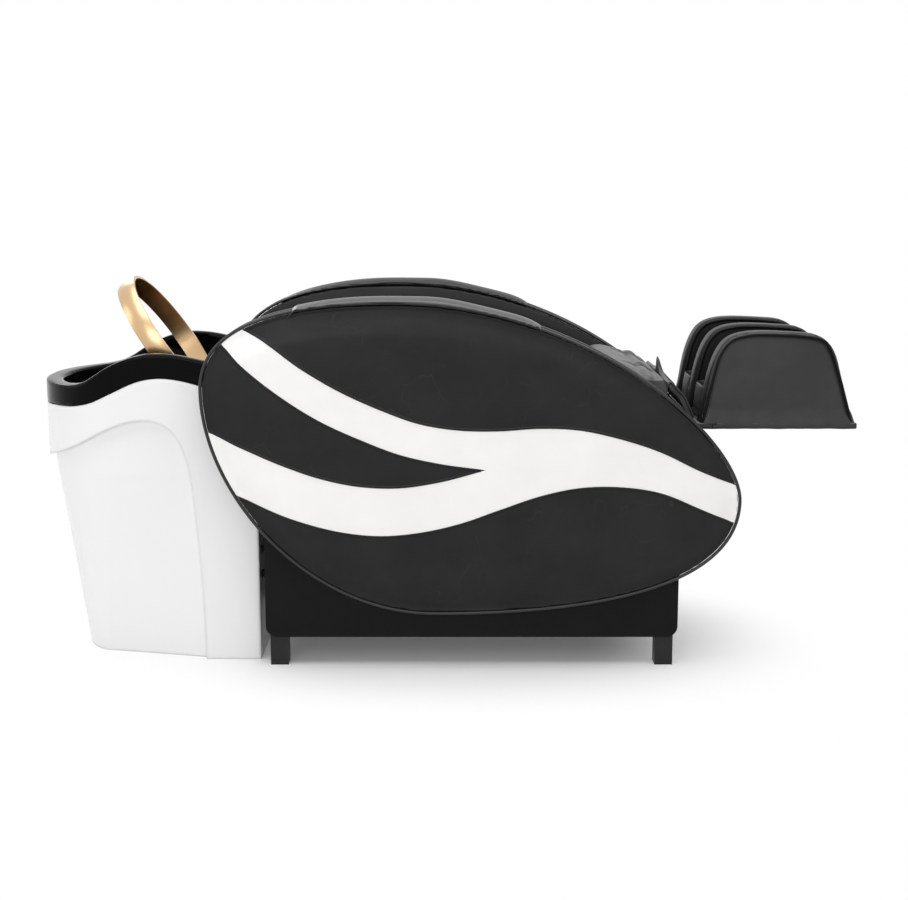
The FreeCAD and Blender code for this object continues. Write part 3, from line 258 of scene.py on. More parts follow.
def leather(name, dark, light, roughness, scuffs=0.0, specular=0.4, grain=0.00022, creases=0.0016):
    """Coated leather: pebbled grain, slow colour and gloss changes, soft creases and scuffs.

    The colour lies between dark and light; grain and creases are depths in metres.
    """
    finish = Finish(name, dark, roughness, specular=specular)
    slow = finish.grain(7.0, 4.0, 0.6)
    fine = finish.grain(240.0, 3.0, 0.6)
    tone = finish.ramp(slow, [(0.35, 0.0), (0.68, 1.0)])
    colour = finish.between(tone, dark, light)
    if scuffs:
        marks = finish.math("MULTIPLY", hairlines(finish, 13.0), scuffs)
        colour = finish.between(marks, colour, [min(1.0, 1.4 * c + 0.006) for c in light])
    finish.set(**{"Base Color": colour})
    gloss = finish.math("MULTIPLY_ADD", fine, GLOSS_SPREAD)
    finish.nodes[-1].inputs[2].default_value = roughness - GLOSS_SPREAD / 2
    finish.set(Roughness=gloss)
    finish.bump(finish.grain(16.0, 3.0, 0.5), creases, 0.5)
    pebbles = finish.cells(620.0, "SMOOTH_F1")
    finish.bump(pebbles, grain, 0.6)
    finish.bump(fine, grain, 0.4)
    return finish.material


def painted(name, colour, roughness, grain=0.0001, specular=0.5, metallic=0.0, scale=420.0,
            even=False, edge=0.0):
    """A moulded or coated hard surface: a fine texture, slow gloss changes, edges rounded by edge."""
    finish = Finish(name, colour, roughness, metallic, specular)
    if edge:
        finish.normal = finish.put("ShaderNodeBevel", {"Radius": edge}, samples=6)
    slow = finish.ramp(finish.grain(5.0, 3.0), [(0.3, 0.0), (0.7, 1.0)])
    spread = 0.03 if even else 0.12
    finish.set(Roughness=finish.between(slow, roughness * (1 - spread), roughness * (1 + spread)))
    finish.set(**{"Base Color": finish.between(slow, [c * (1 - spread / 4) for c in colour], colour)})
    finish.bump(finish.grain(scale, 2.0), grain, 0.5)
    return finish.material


def brushed(name, colour, roughness, stretch=(1.0, 1.0, 60.0)):
    """Metal with fine drawn lines along one axis."""
    finish = Finish(name, colour, roughness, 1.0)
    lines = finish.grain(90.0, 3.0, 0.6, finish.scaled(stretch))
    finish.set(Roughness=finish.between(lines, roughness * 0.75, roughness * 1.3))
    finish.bump(lines, 0.00005, 0.4)
    return finish.material


def plywood(name):
    """Board stained black: long soft grain lines and a fine tooth."""
    finish = Finish(name, (0.010, 0.0095, 0.009), 0.62, specular=0.2)
    lines = finish.grain(14.0, 5.0, 0.65, finish.scaled((0.6, 6.0, 6.0)))
    finish.set(**{"Base Color": finish.between(lines, (0.007, 0.0065, 0.006), (0.014, 0.013, 0.012))})
    finish.bump(finish.grain(260.0, 2.0, 0.6, finish.scaled((0.2, 1.0, 1.0))), 0.0002, 0.5)
    return finish.material


# finish: its name, dark and light grey, roughness, scuffs, specular, depths of grain and creases
BLACK_LEATHERS = {
    "black_leather": ("black_panel_leather", 0.008, 0.013, 0.44, 0.9, 0.22),
    # The boxing strip's leather is glossier than the panel's, and its slightly lighter grey is a
    # painted highlight
    "boxing_leather": ("panel_boxing_leather", 0.010, 0.015, 0.18, 0.3, 0.6, 0.0001, 0.0003),
    # The two armrests are one leather: the near roll's lighter grey is a painted highlight and the far
    # roll's darker grey is painted shade
    "armrest_leather": ("armrest_leather", 0.014, 0.019, 0.33, 0.15, 0.6),
    "far_armrest_leather": ("far_armrest_leather", 0.010, 0.014, 0.4, 0.15, 0.3),
    "cushion_leather": ("cushion_leather", 0.020, 0.030, 0.4, 0.1, 0.5),
    "calf_leather": ("calf_leather", 0.018, 0.028, 0.44, 0.5, 0.42),
    # The calf walls' edge band is a darker copy of the calf leather: painted shade on the top-facing
    # band
    "calf_band_leather": ("calf_band_leather", 0.008, 0.012, 0.38, 0.0, 0.13),
    # The middle and left walls' faces are a darker copy of the calf leather: painted shade for the near
    # wall's shadow in the channels
    "calf_inner_leather": ("calf_inner_leather", 0.006, 0.010, 0.46, 0.3, 0.15),
    "piping_leather": ("panel_piping_leather", 0.008, 0.012, 0.34, 0.0, 0.5),
    "grey_leather": ("grey_seat_leather", 0.022, 0.032, 0.42, 0.5, 0.5),
}


def near_black(grey):
    return (grey, grey, grey + 0.001)


FINISHES = {finish: leather(name, near_black(dark), near_black(light), *looks)
            for finish, (name, dark, light, *looks) in BLACK_LEATHERS.items()}
FINISHES.update({
    "black_thread": painted("black_thread", (0.010, 0.010, 0.010), 0.7, 0.00005, 0.3, scale=900.0),
    "white_leather": leather("white_stripe_leather", (0.90, 0.893, 0.878), (0.93, 0.925, 0.91),
                             0.5, 0.0, 0.3),
    "plinth_leather": leather("plinth_cover", (0.004, 0.004, 0.0045), (0.006, 0.006, 0.0065),
                              0.5, 0.0, 0.12),
    "white_shell": painted("white_shell_gloss", (0.90, 0.893, 0.897), 0.26, 0.00002, 0.4,
                           even=True, edge=0.012),
    "black_gloss": painted("basin_glaze", (0.0025, 0.0025, 0.0025), 0.06, 0.000006, 0.06, even=True),
    "soft_rubber": painted("soft_rubber", (0.010, 0.010, 0.010), 0.55, 0.00008, 0.3),
    "black_plastic": painted("moulded_plastic", (0.016, 0.016, 0.017), 0.45, 0.0001, 0.35),
    "black_metal": painted("powder_coat", (0.011, 0.011, 0.012), 0.42, 0.00012, 0.3),
    "chrome": brushed("polished_chrome", (0.8, 0.8, 0.82), 0.1),
    "steel": brushed("zinc_steel", (0.46, 0.46, 0.48), 0.38),
    "gold_metal": painted("satin_gold", (0.66, 0.455, 0.255), 0.27, 0.000015, 0.5, 1.0, even=True),
    "board": plywood("plywood"),
})
# Nodes whose finish isn't the one that their slot names
OWN_FINISHES = {"plinth_box": "plinth_leather"}

for name, node in nodes.items():
    node.data.materials.clear()
    node.data.materials.append(FINISHES[OWN_FINISHES.get(name, SLOTS[name])])

# Shapes


def soft_shaded(mesh):
    mesh.polygons.foreach_set("use_smooth", [True] * len(mesh.polygons))


def new_piece(name, bm, finish):
    """A soft-shaded piece from a finished bmesh, with its finish."""
    mesh = bpy.data.meshes.new(name)
    bm.to_mesh(mesh)
    bm.free()
    soft_shaded(mesh)
    piece = bpy.data.objects.new(name, mesh)
    bpy.context.scene.collection.objects.link(piece)
    mesh.materials.append(FINISHES[finish])
    return piece


def stands_in(piece, node, body="base"):
    """Lets a piece take a CAD node's place, on the node's body, and hides the node."""
    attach(piece, body)
    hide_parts(node)
    return piece


def finished(piece, finish):
    """Sets a piece's finish and soft shading anew, after its mesh has been made over."""
    piece.data.materials.clear()
    piece.data.materials.append(FINISHES[finish])
    soft_shaded(piece.data)
    return piece


def smooth_step(value, low, high):
    """0 below low, 1 above high, and a soft rise between them."""
    share = np.clip((value - low) / (high - low), 0.0, 1.0)
    return share * share * (3.0 - 2.0 * share)


def fall(value, low, high):
    """1 below low, 0 above high, and a soft drop between them."""
    return 1.0 - smooth_step(value, low, high)


def pulse(distance, width):
    """1 at no distance, and next to nothing beyond twice the width."""
    return np.exp(-(distance / width) ** 2)


def uneven(places, scale, seed):
    """Smooth noise at places, from -1 to 1."""
    factors = np.array(scale if hasattr(scale, "__len__") else (scale,) * 3)
    return np.array([noise.noise(Vector(spot)) for spot in places * factors + (0.0, 0.0, seed)])


def line_distance(places, line):
    """How far each place's x and z lie from a line of points (x, z)."""
    flat = places[:, (0, 2)]
    nearest = np.full(len(flat), 9.0)
    for start in range(0, len(line), 40):
        gaps = flat[:, None, :] - line[None, start:start + 40, :]
        nearest = np.minimum(nearest, np.sqrt((gaps ** 2).sum(axis=2)).min(axis=1))
    return nearest


def run_lengths(points):
    """How far along a line of points each one of them lies."""
    return np.concatenate([[0.0], np.cumsum(np.linalg.norm(np.diff(points, axis=0), axis=1))])


def moved_aside(points, along, distance):
    """A line of points (x, z), moved square to its course along by a distance."""
    along = along / np.linalg.norm(along, axis=1)[:, None]
    return points + distance * np.stack([along[:, 1], -along[:, 0]], axis=1)


def smooth_between(points, slopes, spans, t, length=1.0):
    """Places on the smooth arcs through points, at a share t of each span."""
    return ((2 * t ** 3 - 3 * t ** 2 + 1) * points[spans]
            + (t ** 3 - 2 * t ** 2 + t) * length * slopes[spans]
            + (3 * t ** 2 - 2 * t ** 3) * points[spans + 1]
            + (t ** 3 - t ** 2) * length * slopes[spans + 1])


def add_mesh(bm, mesh):
    """Moves a loose mesh into a bmesh."""
    bm.from_mesh(mesh)
    bpy.data.meshes.remove(mesh)


def add_grid(bm, grid):
    """Moves one bmesh into another."""
    mesh = bpy.data.meshes.new("grid")
    grid.to_mesh(mesh)
    grid.free()
    add_mesh(bm, mesh)


def shaped_grid(columns, rows, place):
    """A grid whose points lie where place(u, v) says, with u and v from 0 to 1."""
    bm = bmesh.new()
    bmesh.ops.create_grid(bm, x_segments=columns, y_segments=rows, size=0.5)
    for vert in bm.verts:
        vert.co = place(vert.co.x + 0.5, vert.co.y + 0.5)
    return bm


def line_mesh(points, radius, closed=False, sides=2):
    """The mesh of a round bead along points."""
    curve = bpy.data.curves.new("bead", "CURVE")
    curve.dimensions = "3D"
    curve.bevel_depth = radius
    curve.bevel_resolution = sides
    spline = curve.splines.new("POLY")
    spline.points.add(len(points) - 1)
    for point, place in zip(spline.points, points):
        point.co = (*place, 1.0)
    spline.use_cyclic_u = closed
    curve.use_fill_caps = True
    holder = bpy.data.objects.new("bead", curve)
    mesh = bpy.data.meshes.new_from_object(holder)
    bpy.data.objects.remove(holder)
    bpy.data.curves.remove(curve)
    return mesh


def bead_lines(lines, radius, closed=False, sides=2):
    """Round beads along several lines of points, in one bmesh."""
    bm = bmesh.new()
    for points in lines:
        add_mesh(bm, line_mesh(points, radius, closed, sides))
    return bm


def beads(name, lines, radius, finish, body, closed=False, sides=2):
    """One piece of round beads, such as piping, that rides on a body."""
    piece = new_piece(name, bead_lines(lines, radius, closed, sides), finish)
    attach(piece, body)
    return piece


def spread(points, count, closed=False):
    """A number of points at even steps along a line of points."""
    lengths = run_lengths(points)
    marks = np.linspace(0.0, lengths[-1], count, endpoint=not closed)
    return np.stack([np.interp(marks, lengths, places) for places in points.T], axis=1)


def even(points, step, closed=False):
    """Points about a step apart along a line of points."""
    points = np.array(points, dtype=float)
    if closed:
        points = np.vstack([points, points[:1]])
    return spread(points, max(2, round(run_lengths(points)[-1] / step)), closed)


STITCH_PITCH, STITCH_RADIUS, STITCH_SHARE = 0.006, 0.0006, 0.62


def stitches(name, lines, body, closed=False):
    """Separate short threads along lines of points, each one the same small bead."""
    bead = bmesh.new()
    bmesh.ops.create_uvsphere(bead, u_segments=6, v_segments=4, radius=1.0)
    one = bpy.data.meshes.new("thread")
    bead.to_mesh(one)
    bead.free()
    shape = vertex_places(one)
    bm = bmesh.new()
    places = []
    for points in lines:
        marks = even(points, STITCH_PITCH, closed)
        following = np.roll(marks, -1, axis=0) if closed else marks[1:]
        for start, stop in zip(marks, following):
            way = Vector(stop - start)
            turn = np.array(way.to_track_quat("Z", "Y").to_matrix())
            size = np.array([STITCH_RADIUS, STITCH_RADIUS, way.length * STITCH_SHARE / 2])
            places.append((shape * size) @ turn.T + (start + stop) / 2)
            bm.from_mesh(one)
    bpy.data.meshes.remove(one)
    piece = new_piece(name, bm, "black_thread")
    piece.data.vertices.foreach_set("co", np.concatenate(places).ravel())
    piece.data.update()
    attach(piece, body)
    return piece


def merged(*names, grow=0.0):
    """The joined loose triangles of CAD nodes, drawn in or let out along their normals."""
    bm = bmesh.new()
    for name in names:
        bm.from_mesh(nodes[name].data)
    bmesh.ops.remove_doubles(bm, verts=bm.verts, dist=0.00002)
    if grow:
        bm.normal_update()
        for vert in bm.verts:
            vert.co += vert.normal * grow
    return bm


def settled(piece):
    """Takes the modifiers' result as the piece's own mesh."""
    graph = bpy.context.evaluated_depsgraph_get()
    graph.update()
    mesh = bpy.data.meshes.new_from_object(piece.evaluated_get(graph))
    old = piece.data
    piece.modifiers.clear()
    piece.data = mesh
    bpy.data.meshes.remove(old)
    return piece


def remesh(piece, voxel):
    """Sets a piece to be made over in even small faces."""
    modifier = piece.modifiers.new("remesh", "REMESH")
    modifier.mode = "VOXEL"
    modifier.voxel_size = voxel


def vertex_places(mesh):
    """A mesh's points, one row of x, y and z for each."""
    places = np.empty(len(mesh.vertices) * 3)
    mesh.vertices.foreach_get("co", places)
    return places.reshape(-1, 3)


HELD_LEVELS = 10
TINY = 1e-9


def blown(piece, weights, pressure, frames):
    """Where a piece's points come to lie as cloth under pressure, held where weights are 1."""
    group = piece.vertex_groups.new(name="held")
    for level in range(1, HELD_LEVELS + 1):
        chosen = np.nonzero(np.round(weights * HELD_LEVELS) == level)[0]
        if len(chosen):
            group.add([int(index) for index in chosen], level / HELD_LEVELS, "REPLACE")
    cloth = piece.modifiers.new("cloth", "CLOTH")
    settings = cloth.settings
    settings.quality = 4
    settings.mass = 0.4
    settings.tension_stiffness = settings.compression_stiffness = 12
    settings.bending_stiffness = 1.5
    settings.use_pressure = True
    settings.uniform_pressure_force = pressure
    settings.effector_weights.gravity = 0.0
    settings.vertex_group_mass = "held"
    scene = bpy.context.scene
    cloth.point_cache.frame_start, cloth.point_cache.frame_end = 1, frames
    for frame_number in range(1, frames + 1):
        scene.frame_set(frame_number)
    settled(piece)
    scene.frame_set(1)
    piece.vertex_groups.clear()
    return vertex_places(piece.data)


def stuffed(name, bm, finish, voxel, cap, held, pressure, frames, shape=None):
    """A padded piece: remeshed, blown up by at most cap where held(place) is below 1, and shaped."""
    piece = new_piece(name, bm, finish)
    remesh(piece, voxel)
    settled(piece)
    places = vertex_places(piece.data)
    weights = held(places)
    move = blown(piece, weights, pressure, frames) - places
    size = np.linalg.norm(move, axis=1)
    limit = cap * (1.0 - 0.999 * weights)
    share = np.where(size > TINY, limit * np.tanh(size / limit) / np.maximum(size, TINY), 0.0)
    places = places + move * share[:, None]
    if shape:
        places = shape(places)
    piece.data.vertices.foreach_set("co", places.ravel())
    piece.data.update()
    smooth = piece.modifiers.new("smooth", "SUBSURF")
    smooth.levels = smooth.render_levels = 1
    return finished(settled(piece), finish)


def mirrored(piece, name):
    """The same piece on the other side of the bed."""
    bm = bmesh.new()
    bm.from_mesh(piece.data)
    bmesh.ops.scale(bm, vec=(1, -1, 1), verts=bm.verts)
    bmesh.ops.reverse_faces(bm, faces=bm.faces)
    twin = new_piece(name, bm, "black_leather")
    twin.data.materials.clear()
    for material in piece.data.materials:
        twin.data.materials.append(material)
    return twin


# Side panels

PANEL_CORNER = (-0.589, 0.145)
PANEL_SIZE = (1.325, 0.774)
PANEL_QUARTERS = [
    [(0.0, 0.7225), (0.0, 0.9345), (0.152, 1.0), (0.352, 1.0)],
    [(0.352, 1.0), (0.725, 1.0), (1.0, 0.561), (1.0, 0.369)],
    [(1.0, 0.369), (1.0, 0.085), (0.731, 0.0), (0.431, 0.0)],
    [(0.431, 0.0), (0.191, 0.0), (0.0, 0.3925), (0.0, 0.7225)],
]


def panel_place(share):
    """The place (x, z) at a share of the panel's length and height."""
    return np.array([PANEL_CORNER[0] + share[0] * PANEL_SIZE[0],
                     PANEL_CORNER[1] + share[1] * PANEL_SIZE[1]])


def panel_outline(inwards=0.0, count=90):
    """Points (x, z) of the side panel's outline, drawn in by a distance."""
    points = []
    for quarter in PANEL_QUARTERS:
        poles = [panel_place(share) for share in quarter]
        for t in np.linspace(0.0, 1.0, count, endpoint=False):
            weights = ((1 - t) ** 3, 3 * t * (1 - t) ** 2, 3 * t * t * (1 - t), t ** 3)
            points.append(sum(w * pole for w, pole in zip(weights, poles)))
    points = np.array(points)
    along = np.roll(points, -1, axis=0) - np.roll(points, 1, axis=0)
    return moved_aside(points, along, inwards)


OUTLINE = panel_outline()
OUTER_SEAM_Y, INNER_SEAM_Y = 0.383, 0.318
# Between these the panel's edge carries the boxing leather, and its faces lie beyond them
BOXING_Y = (0.322, 0.381)
# A face of a mesh whose normal has less than this across the bed belongs to an edge
EDGE_NORMAL = 0.6
PANEL_MIDDLE = np.array((0.06, 0.0, 0.53))
SEAM_DEPTH, FACE_ROLL = 0.0022, 0.012


def panel_seam(places):
    """How far each place lies from the nearer of the panel's two seams."""
    distance = line_distance(places, OUTLINE)
    y = np.abs(places[:, 1])
    return np.minimum(np.hypot(distance, y - OUTER_SEAM_Y), np.hypot(distance, y - INNER_SEAM_Y))


def panel_held(places):
    """Held along its two seams."""
    return fall(panel_seam(places), 0.006, 0.030)


def panel_shape(places):
    """Draws the leather in along the two seams and rolls the face off towards the outer one."""
    pull = SEAM_DEPTH * pulse(panel_seam(places), 0.006)
    inwards = PANEL_MIDDLE - places
    inwards[:, 1] = np.where(np.abs(places[:, 1]) > 0.375, 0.3, 0.0)
    inwards /= np.linalg.norm(inwards, axis=1)[:, None]
    places = places + inwards * pull[:, None]
    outside = smooth_step(np.abs(places[:, 1]), 0.386, 0.396)
    near_edge = fall(line_distance(places, OUTLINE), 0.010, 0.075)
    places[:, 1] -= np.copysign(FACE_ROLL * outside * near_edge, places[:, 1])
    return places


def side_surface(piece):
    """Finds the panel's face at a place (x, z), seen from outside."""
    tree = BVHTree.FromPolygons([vert.co for vert in piece.data.vertices],
                                [face.vertices for face in piece.data.polygons])

    def face_at(x, z, proud=0.0):
        hit = tree.ray_cast(Vector((x, -0.6, z)), Vector((0, 1, 0)))[0]
        y = hit.y if hit is not None else -OUTER_SEAM_Y
        return Vector((x, y - proud, z))

    return face_at


panel_solid = merged("side_panel_right", "white_stripe_right", grow=-0.002)
side_panels = {"right": stuffed("panel_pad_right", panel_solid, "black_leather", voxel=0.009, cap=0.006,
                                held=panel_held, pressure=4.0, frames=14, shape=panel_shape)}
face_at = side_surface(side_panels["right"])
side_panels["left"] = mirrored(side_panels["right"], "panel_pad_left")
for side, pad in side_panels.items():
    # The boxing faces take the glossier boxing leather, whose lighter grey is a painted highlight
    pad.data.materials.append(FINISHES["boxing_leather"])
    for face in pad.data.polygons:
        on_boxing = BOXING_Y[0] < abs(face.center.y) < BOXING_Y[1]
        face.material_index = int(on_boxing and abs(face.normal.y) < EDGE_NORMAL)
    stands_in(pad, f"side_panel_{side}")


# Piping, hems and threads of the side panels


def both_sides(make):
    """Makes a piece on the right and its twin on the left."""
    for side, sign in (("right", 1), ("left", -1)):
        make(side, sign)


def across(points, sign):
    """A right-hand line of points, or its twin on the left."""
    return [Vector((point.x, point.y * sign, point.z)) for point in points]


# The threads run beside the outer seam, on the face and on the boxing
THREAD_OFFSET, THREAD_PROUD, THREAD_SUNK = 0.011, 0.0004, -0.004


def panel_trim(side, sign):
    """Piping along both seams, and a thread on each side of the outer one but not over the white."""
    seams = [across([Vector((x, -y, z)) for x, z in panel_outline(-0.0005, 60)], sign)
             for y in (OUTER_SEAM_Y, INNER_SEAM_Y)]
    piping = beads(f"panel_piping_{side}", seams, 0.0042, "piping_leather", "base", True, 3)
    face_line = [face_at(x, z, THREAD_SUNK if on_stripe(x, z) else THREAD_PROUD)
                 for x, z in panel_outline(THREAD_OFFSET, 60)]
    boxing = [Vector((x, -OUTER_SEAM_Y + THREAD_OFFSET, z)) for x, z in panel_outline(-0.0008, 60)]
    thread = stitches(f"panel_thread_{side}", [across(face_line, sign), across(boxing, sign)],
                      "base", True)


# White stripes, let into the face between hems; their edges are shares of the panel's size

UPPER_TOP = [
    (-0.02, 1.02), (0.065, 0.932), (0.114, 0.888), (0.186, 0.798), (0.258, 0.725), (0.331, 0.668),
    (0.404, 0.623), (0.478, 0.603), (0.552, 0.601), (0.625, 0.609), (0.699, 0.603), (0.772, 0.576),
    (0.847, 0.534), (0.921, 0.473), (1.02, 0.402),
]
UPPER_LOW = [
    (-0.04, 0.98), (0.032, 0.888), (0.076, 0.810), (0.148, 0.710), (0.221, 0.631), (0.294, 0.573),
    (0.367, 0.525), (0.441, 0.496), (0.526, 0.476),
]
LOWER_TOP = [
    (-0.04, 0.622), (0.0, 0.601), (0.073, 0.547), (0.146, 0.492), (0.219, 0.448), (0.293, 0.422),
    (0.367, 0.418), (0.441, 0.437), (0.526, 0.476),
]
LOWER_LOW = [
    (-0.02, 0.450), (0.043, 0.405), (0.107, 0.356), (0.181, 0.308), (0.255, 0.275), (0.329, 0.262),
    (0.404, 0.273), (0.478, 0.302), (0.552, 0.347), (0.626, 0.391), (0.700, 0.418), (0.774, 0.421),
    (0.849, 0.402), (0.924, 0.350), (1.02, 0.277),
]


def smooth_line(shares, count=160):
    """A smooth line of points (x, z) through shares of the panel."""
    points = np.array([panel_place(share) for share in shares])
    knots = run_lengths(points)
    slopes = np.gradient(points, knots, axis=0)
    marks = np.linspace(0.0, knots[-1], count)
    spans = np.clip(np.searchsorted(knots, marks, "right") - 1, 0, len(knots) - 2)
    length = (knots[spans + 1] - knots[spans])[:, None]
    t = ((marks - knots[spans])[:, None]) / length
    return smooth_between(points, slopes, spans, t, length)


def on_stripe(x, z):
    """True where a place on the panel's face is white."""
    heights = [np.interp(x, *smooth_line(shares).T)
               for shares in (UPPER_TOP, UPPER_LOW, LOWER_TOP, LOWER_LOW)]
    between_arms = x < FORK[0] and heights[2] < z < heights[1]
    return bool(heights[3] < z < heights[0]) and not between_arms


def inside(place, outline):
    """True where a place (x, z) lies inside a closed outline."""
    x, z = outline[:, 0], outline[:, 1]
    following = np.roll(outline, -1, axis=0)
    crosses = (z > place[1]) != (following[:, 1] > place[1])
    rise = np.where(crosses, following[:, 1] - z, 1.0)
    reach = x + (place[1] - z) / rise * (following[:, 0] - x)
    return bool(np.count_nonzero(crosses & (place[0] < reach)) % 2)


def cut_to(points, outline):
    """The part of a line of points that lies inside an outline, with its ends on it."""
    kept = [point for point in points if inside(point, outline)]
    ends = []
    for order in (points, points[::-1]):
        for before, after in zip(order[:-1], order[1:]):
            if inside(after, outline):
                low, high = before, after
                for _ in range(20):
                    middle = (low + high) / 2
                    low, high = (low, middle) if inside(middle, outline) else (middle, high)
                ends.append(high)
                break
    if inside(points[0], outline):
        ends[0] = points[0]
    if inside(points[-1], outline):
        ends[1] = points[-1]
    return np.array([ends[0], *kept, ends[1]])


STRIPE_EDGE = panel_outline(0.0045)
HEM_EDGE = panel_outline(0.006)
INLAY_PROUD, INLAY_RISE = 0.0009, 0.0018
FORK = panel_place(UPPER_LOW[-1])
both_sides(panel_trim)


def split_at_fork(points):
    """A line's two parts, before and after the fork's place along the bed."""
    place = next(index for index, point in enumerate(points) if point[0] > FORK[0])
    before, after = points[place - 1], points[place]
    middle = before + (after - before) * ((FORK[0] - before[0]) / (after[0] - before[0]))
    return np.vstack([points[:place], middle]), np.vstack([middle, points[place:]])


def strip_surface(top, low, columns, rows):
    """A grid between two lines, cut off along the panel's outline and a little prouder near it."""
    top, low = spread(top, 240), spread(low, 240)
    lines = []
    for share in np.linspace(0.0, 1.0, rows + 1):
        line = top * (1 - share) + low * share
        lines.append(spread(cut_to(line, STRIPE_EDGE), columns + 1))

    def place(u, v):
        x, z = lines[round((1.0 - v) * rows)][round(u * columns)]
        edge = line_distance(np.array([[x, 0.0, z]]), OUTLINE)[0]
        return face_at(x, z, INLAY_PROUD + INLAY_RISE * fall(edge, 0.006, 0.028))

    return shaped_grid(columns, rows, place)


def stripe_surface():
    """The upper and lower arms and the one stripe that they join."""
    upper_head, upper_foot = split_at_fork(smooth_line(UPPER_TOP))
    lower_head, lower_foot = split_at_fork(smooth_line(LOWER_LOW))
    bm = bmesh.new()
    for top, low, columns, rows in (
            (upper_head, smooth_line(UPPER_LOW), 110, 14),
            (smooth_line(LOWER_TOP), lower_head, 110, 14),
            (upper_foot, lower_foot, 96, 28)):
        add_grid(bm, strip_surface(top, low, columns, rows))
    bmesh.ops.remove_doubles(bm, verts=bm.verts, dist=0.0006)
    bmesh.ops.recalc_face_normals(bm, faces=bm.faces)
    if sum(face.normal.y for face in bm.faces) > 0:
        bmesh.ops.reverse_faces(bm, faces=bm.faces)
    return bm


stripes = {"right": new_piece("stripe_inlay_right", stripe_surface(), "white_leather")}
stripes["left"] = mirrored(stripes["right"], "stripe_inlay_left")
for side, inlay in stripes.items():
    stands_in(inlay, f"white_stripe_{side}")


# The hem's section: how far off the white and how proud of the face each of its lines lies
HEM_SECTION = ((-0.0004, 0.0004), (-0.0002, 0.0019), (0.0012, 0.0025), (0.0042, 0.0023),
               (0.0062, 0.0007), (0.0068, -0.0006))
HEM_THREAD = (0.0036, 0.0026)
HEM_POINTS = 170


def hem_lines(offset, proud):
    """The stripes' edges, moved off the white by a distance, on the panel's face."""
    lines = []
    for shares, sign in ((UPPER_TOP, 1), (UPPER_LOW, -1), (LOWER_TOP, 1), (LOWER_LOW, -1)):
        points = smooth_line(shares)
        moved = moved_aside(points, np.gradient(points, axis=0), -sign * offset)
        moved = spread(cut_to(moved, HEM_EDGE), HEM_POINTS)
        if shares in (UPPER_LOW, LOWER_TOP):
            moved = spread(moved[moved[:, 0] < FORK[0] - 0.012 - 2.2 * offset], HEM_POINTS)
        lines.append([face_at(x, z, proud) for x, z in moved])
    return lines


def hem_strip():
    """A folded leather edge along each side of the stripes: a low rounded band."""
    bm = bmesh.new()
    sections = [hem_lines(offset, proud) for offset, proud in HEM_SECTION]
    columns, rows = HEM_POINTS - 1, len(HEM_SECTION) - 1
    for number in range(4):
        add_grid(bm, shaped_grid(
            columns, rows, lambda u, v: sections[round(v * rows)][number][round(u * columns)]))
    for face in bm.faces:
        if face.normal.y > 0:
            face.normal_flip()
    return bm


hems = {"right": new_piece("stripe_hem_right", hem_strip(), "black_leather")}
hems["left"] = mirrored(hems["right"], "stripe_hem_left")
for side, hem in hems.items():
    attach(hem, "base")


def hem_thread(side, sign):
    thread = stitches(f"stripe_thread_{side}", [across(line, sign) for line in hem_lines(*HEM_THREAD)],
                      "base")


both_sides(hem_thread)

# Armrests

ARMREST_SEAMS, ARMREST_MIDDLE = (0.398, 0.312), 0.355
TAIL_NARROWING, TAIL_DROP = 0.4, 0.030


def armrest_held(places):
    """Held along its two long sides, where the roll is sewn to the panel."""
    y = np.abs(places[:, 1])
    seam = np.minimum(np.abs(y - ARMREST_SEAMS[0]), np.abs(y - ARMREST_SEAMS[1]))
    return fall(seam, 0.004, 0.02)


def armrest_shape(places):
    """Narrows the roll's head end and sinks it into the panel, so that it starts short and blunt."""
    x, y, z = places.T
    tail = fall(x, -0.392, -0.352)
    half = (np.abs(y) - ARMREST_MIDDLE) * (1.0 - TAIL_NARROWING * tail)
    return np.stack([x, np.copysign(ARMREST_MIDDLE + half, y), z - TAIL_DROP * tail], axis=1)


# The far armrest takes the darker copy of the armrest leather: painted shade
for side, finish, shape in (("right", "armrest_leather", armrest_shape),
                            ("left", "far_armrest_leather", None)):
    pad = stuffed(f"armrest_pad_{side}", merged(f"armrest_{side}", grow=0.0005), finish, voxel=0.006,
                  cap=0.0025, held=armrest_held, pressure=3.0, frames=12, shape=shape)
    stands_in(pad, f"armrest_{side}")

# Seat and back cushions

CUSHION_LOW = 0.640
SEAT_CHANNELS = (0.185, 0.294, 0.403, 0.502)
BACK_CHANNELS = (-0.404, -0.285, -0.165, -0.046)
# The nose is where the seat's top turns down towards the calf unit
SEAT_NOSE = (0.40, 0.57)
NOSE_FOLDS = ((-0.115, 0.5), (0.12, -0.35))


def cushion_held(channels):
    """Held flat underneath, and at the sewn channels."""

    def held(places):
        channel = np.min([np.abs(places[:, 0] - line) for line in channels], axis=0)
        sewn = np.where(places[:, 2] > 0.735, fall(channel, 0.004, 0.03), 0.0)
        return np.where(places[:, 2] < CUSHION_LOW + 0.012, 1.0, sewn)

    return held


def channel_fold(places, line, seed):
    """How deep a wandering sewn channel and its ripples lie below the top."""
    x, y = places[:, 0], places[:, 1]
    none = np.zeros_like(x)
    bend = line + 0.006 * uneven(np.stack([np.full_like(x, line * 31), y * 5, none], axis=1), 1.0, seed)
    ripple = uneven(np.stack([np.full_like(x, line * 17), y * 30, none], axis=1), 1.0, seed + 3)
    away = np.abs(x - bend)
    groove = 0.007 * pulse(away, 0.0045) + 0.005 * pulse(away, 0.016)
    return groove + 0.0016 * (0.5 + ripple) * pulse(away - 0.012, 0.016)


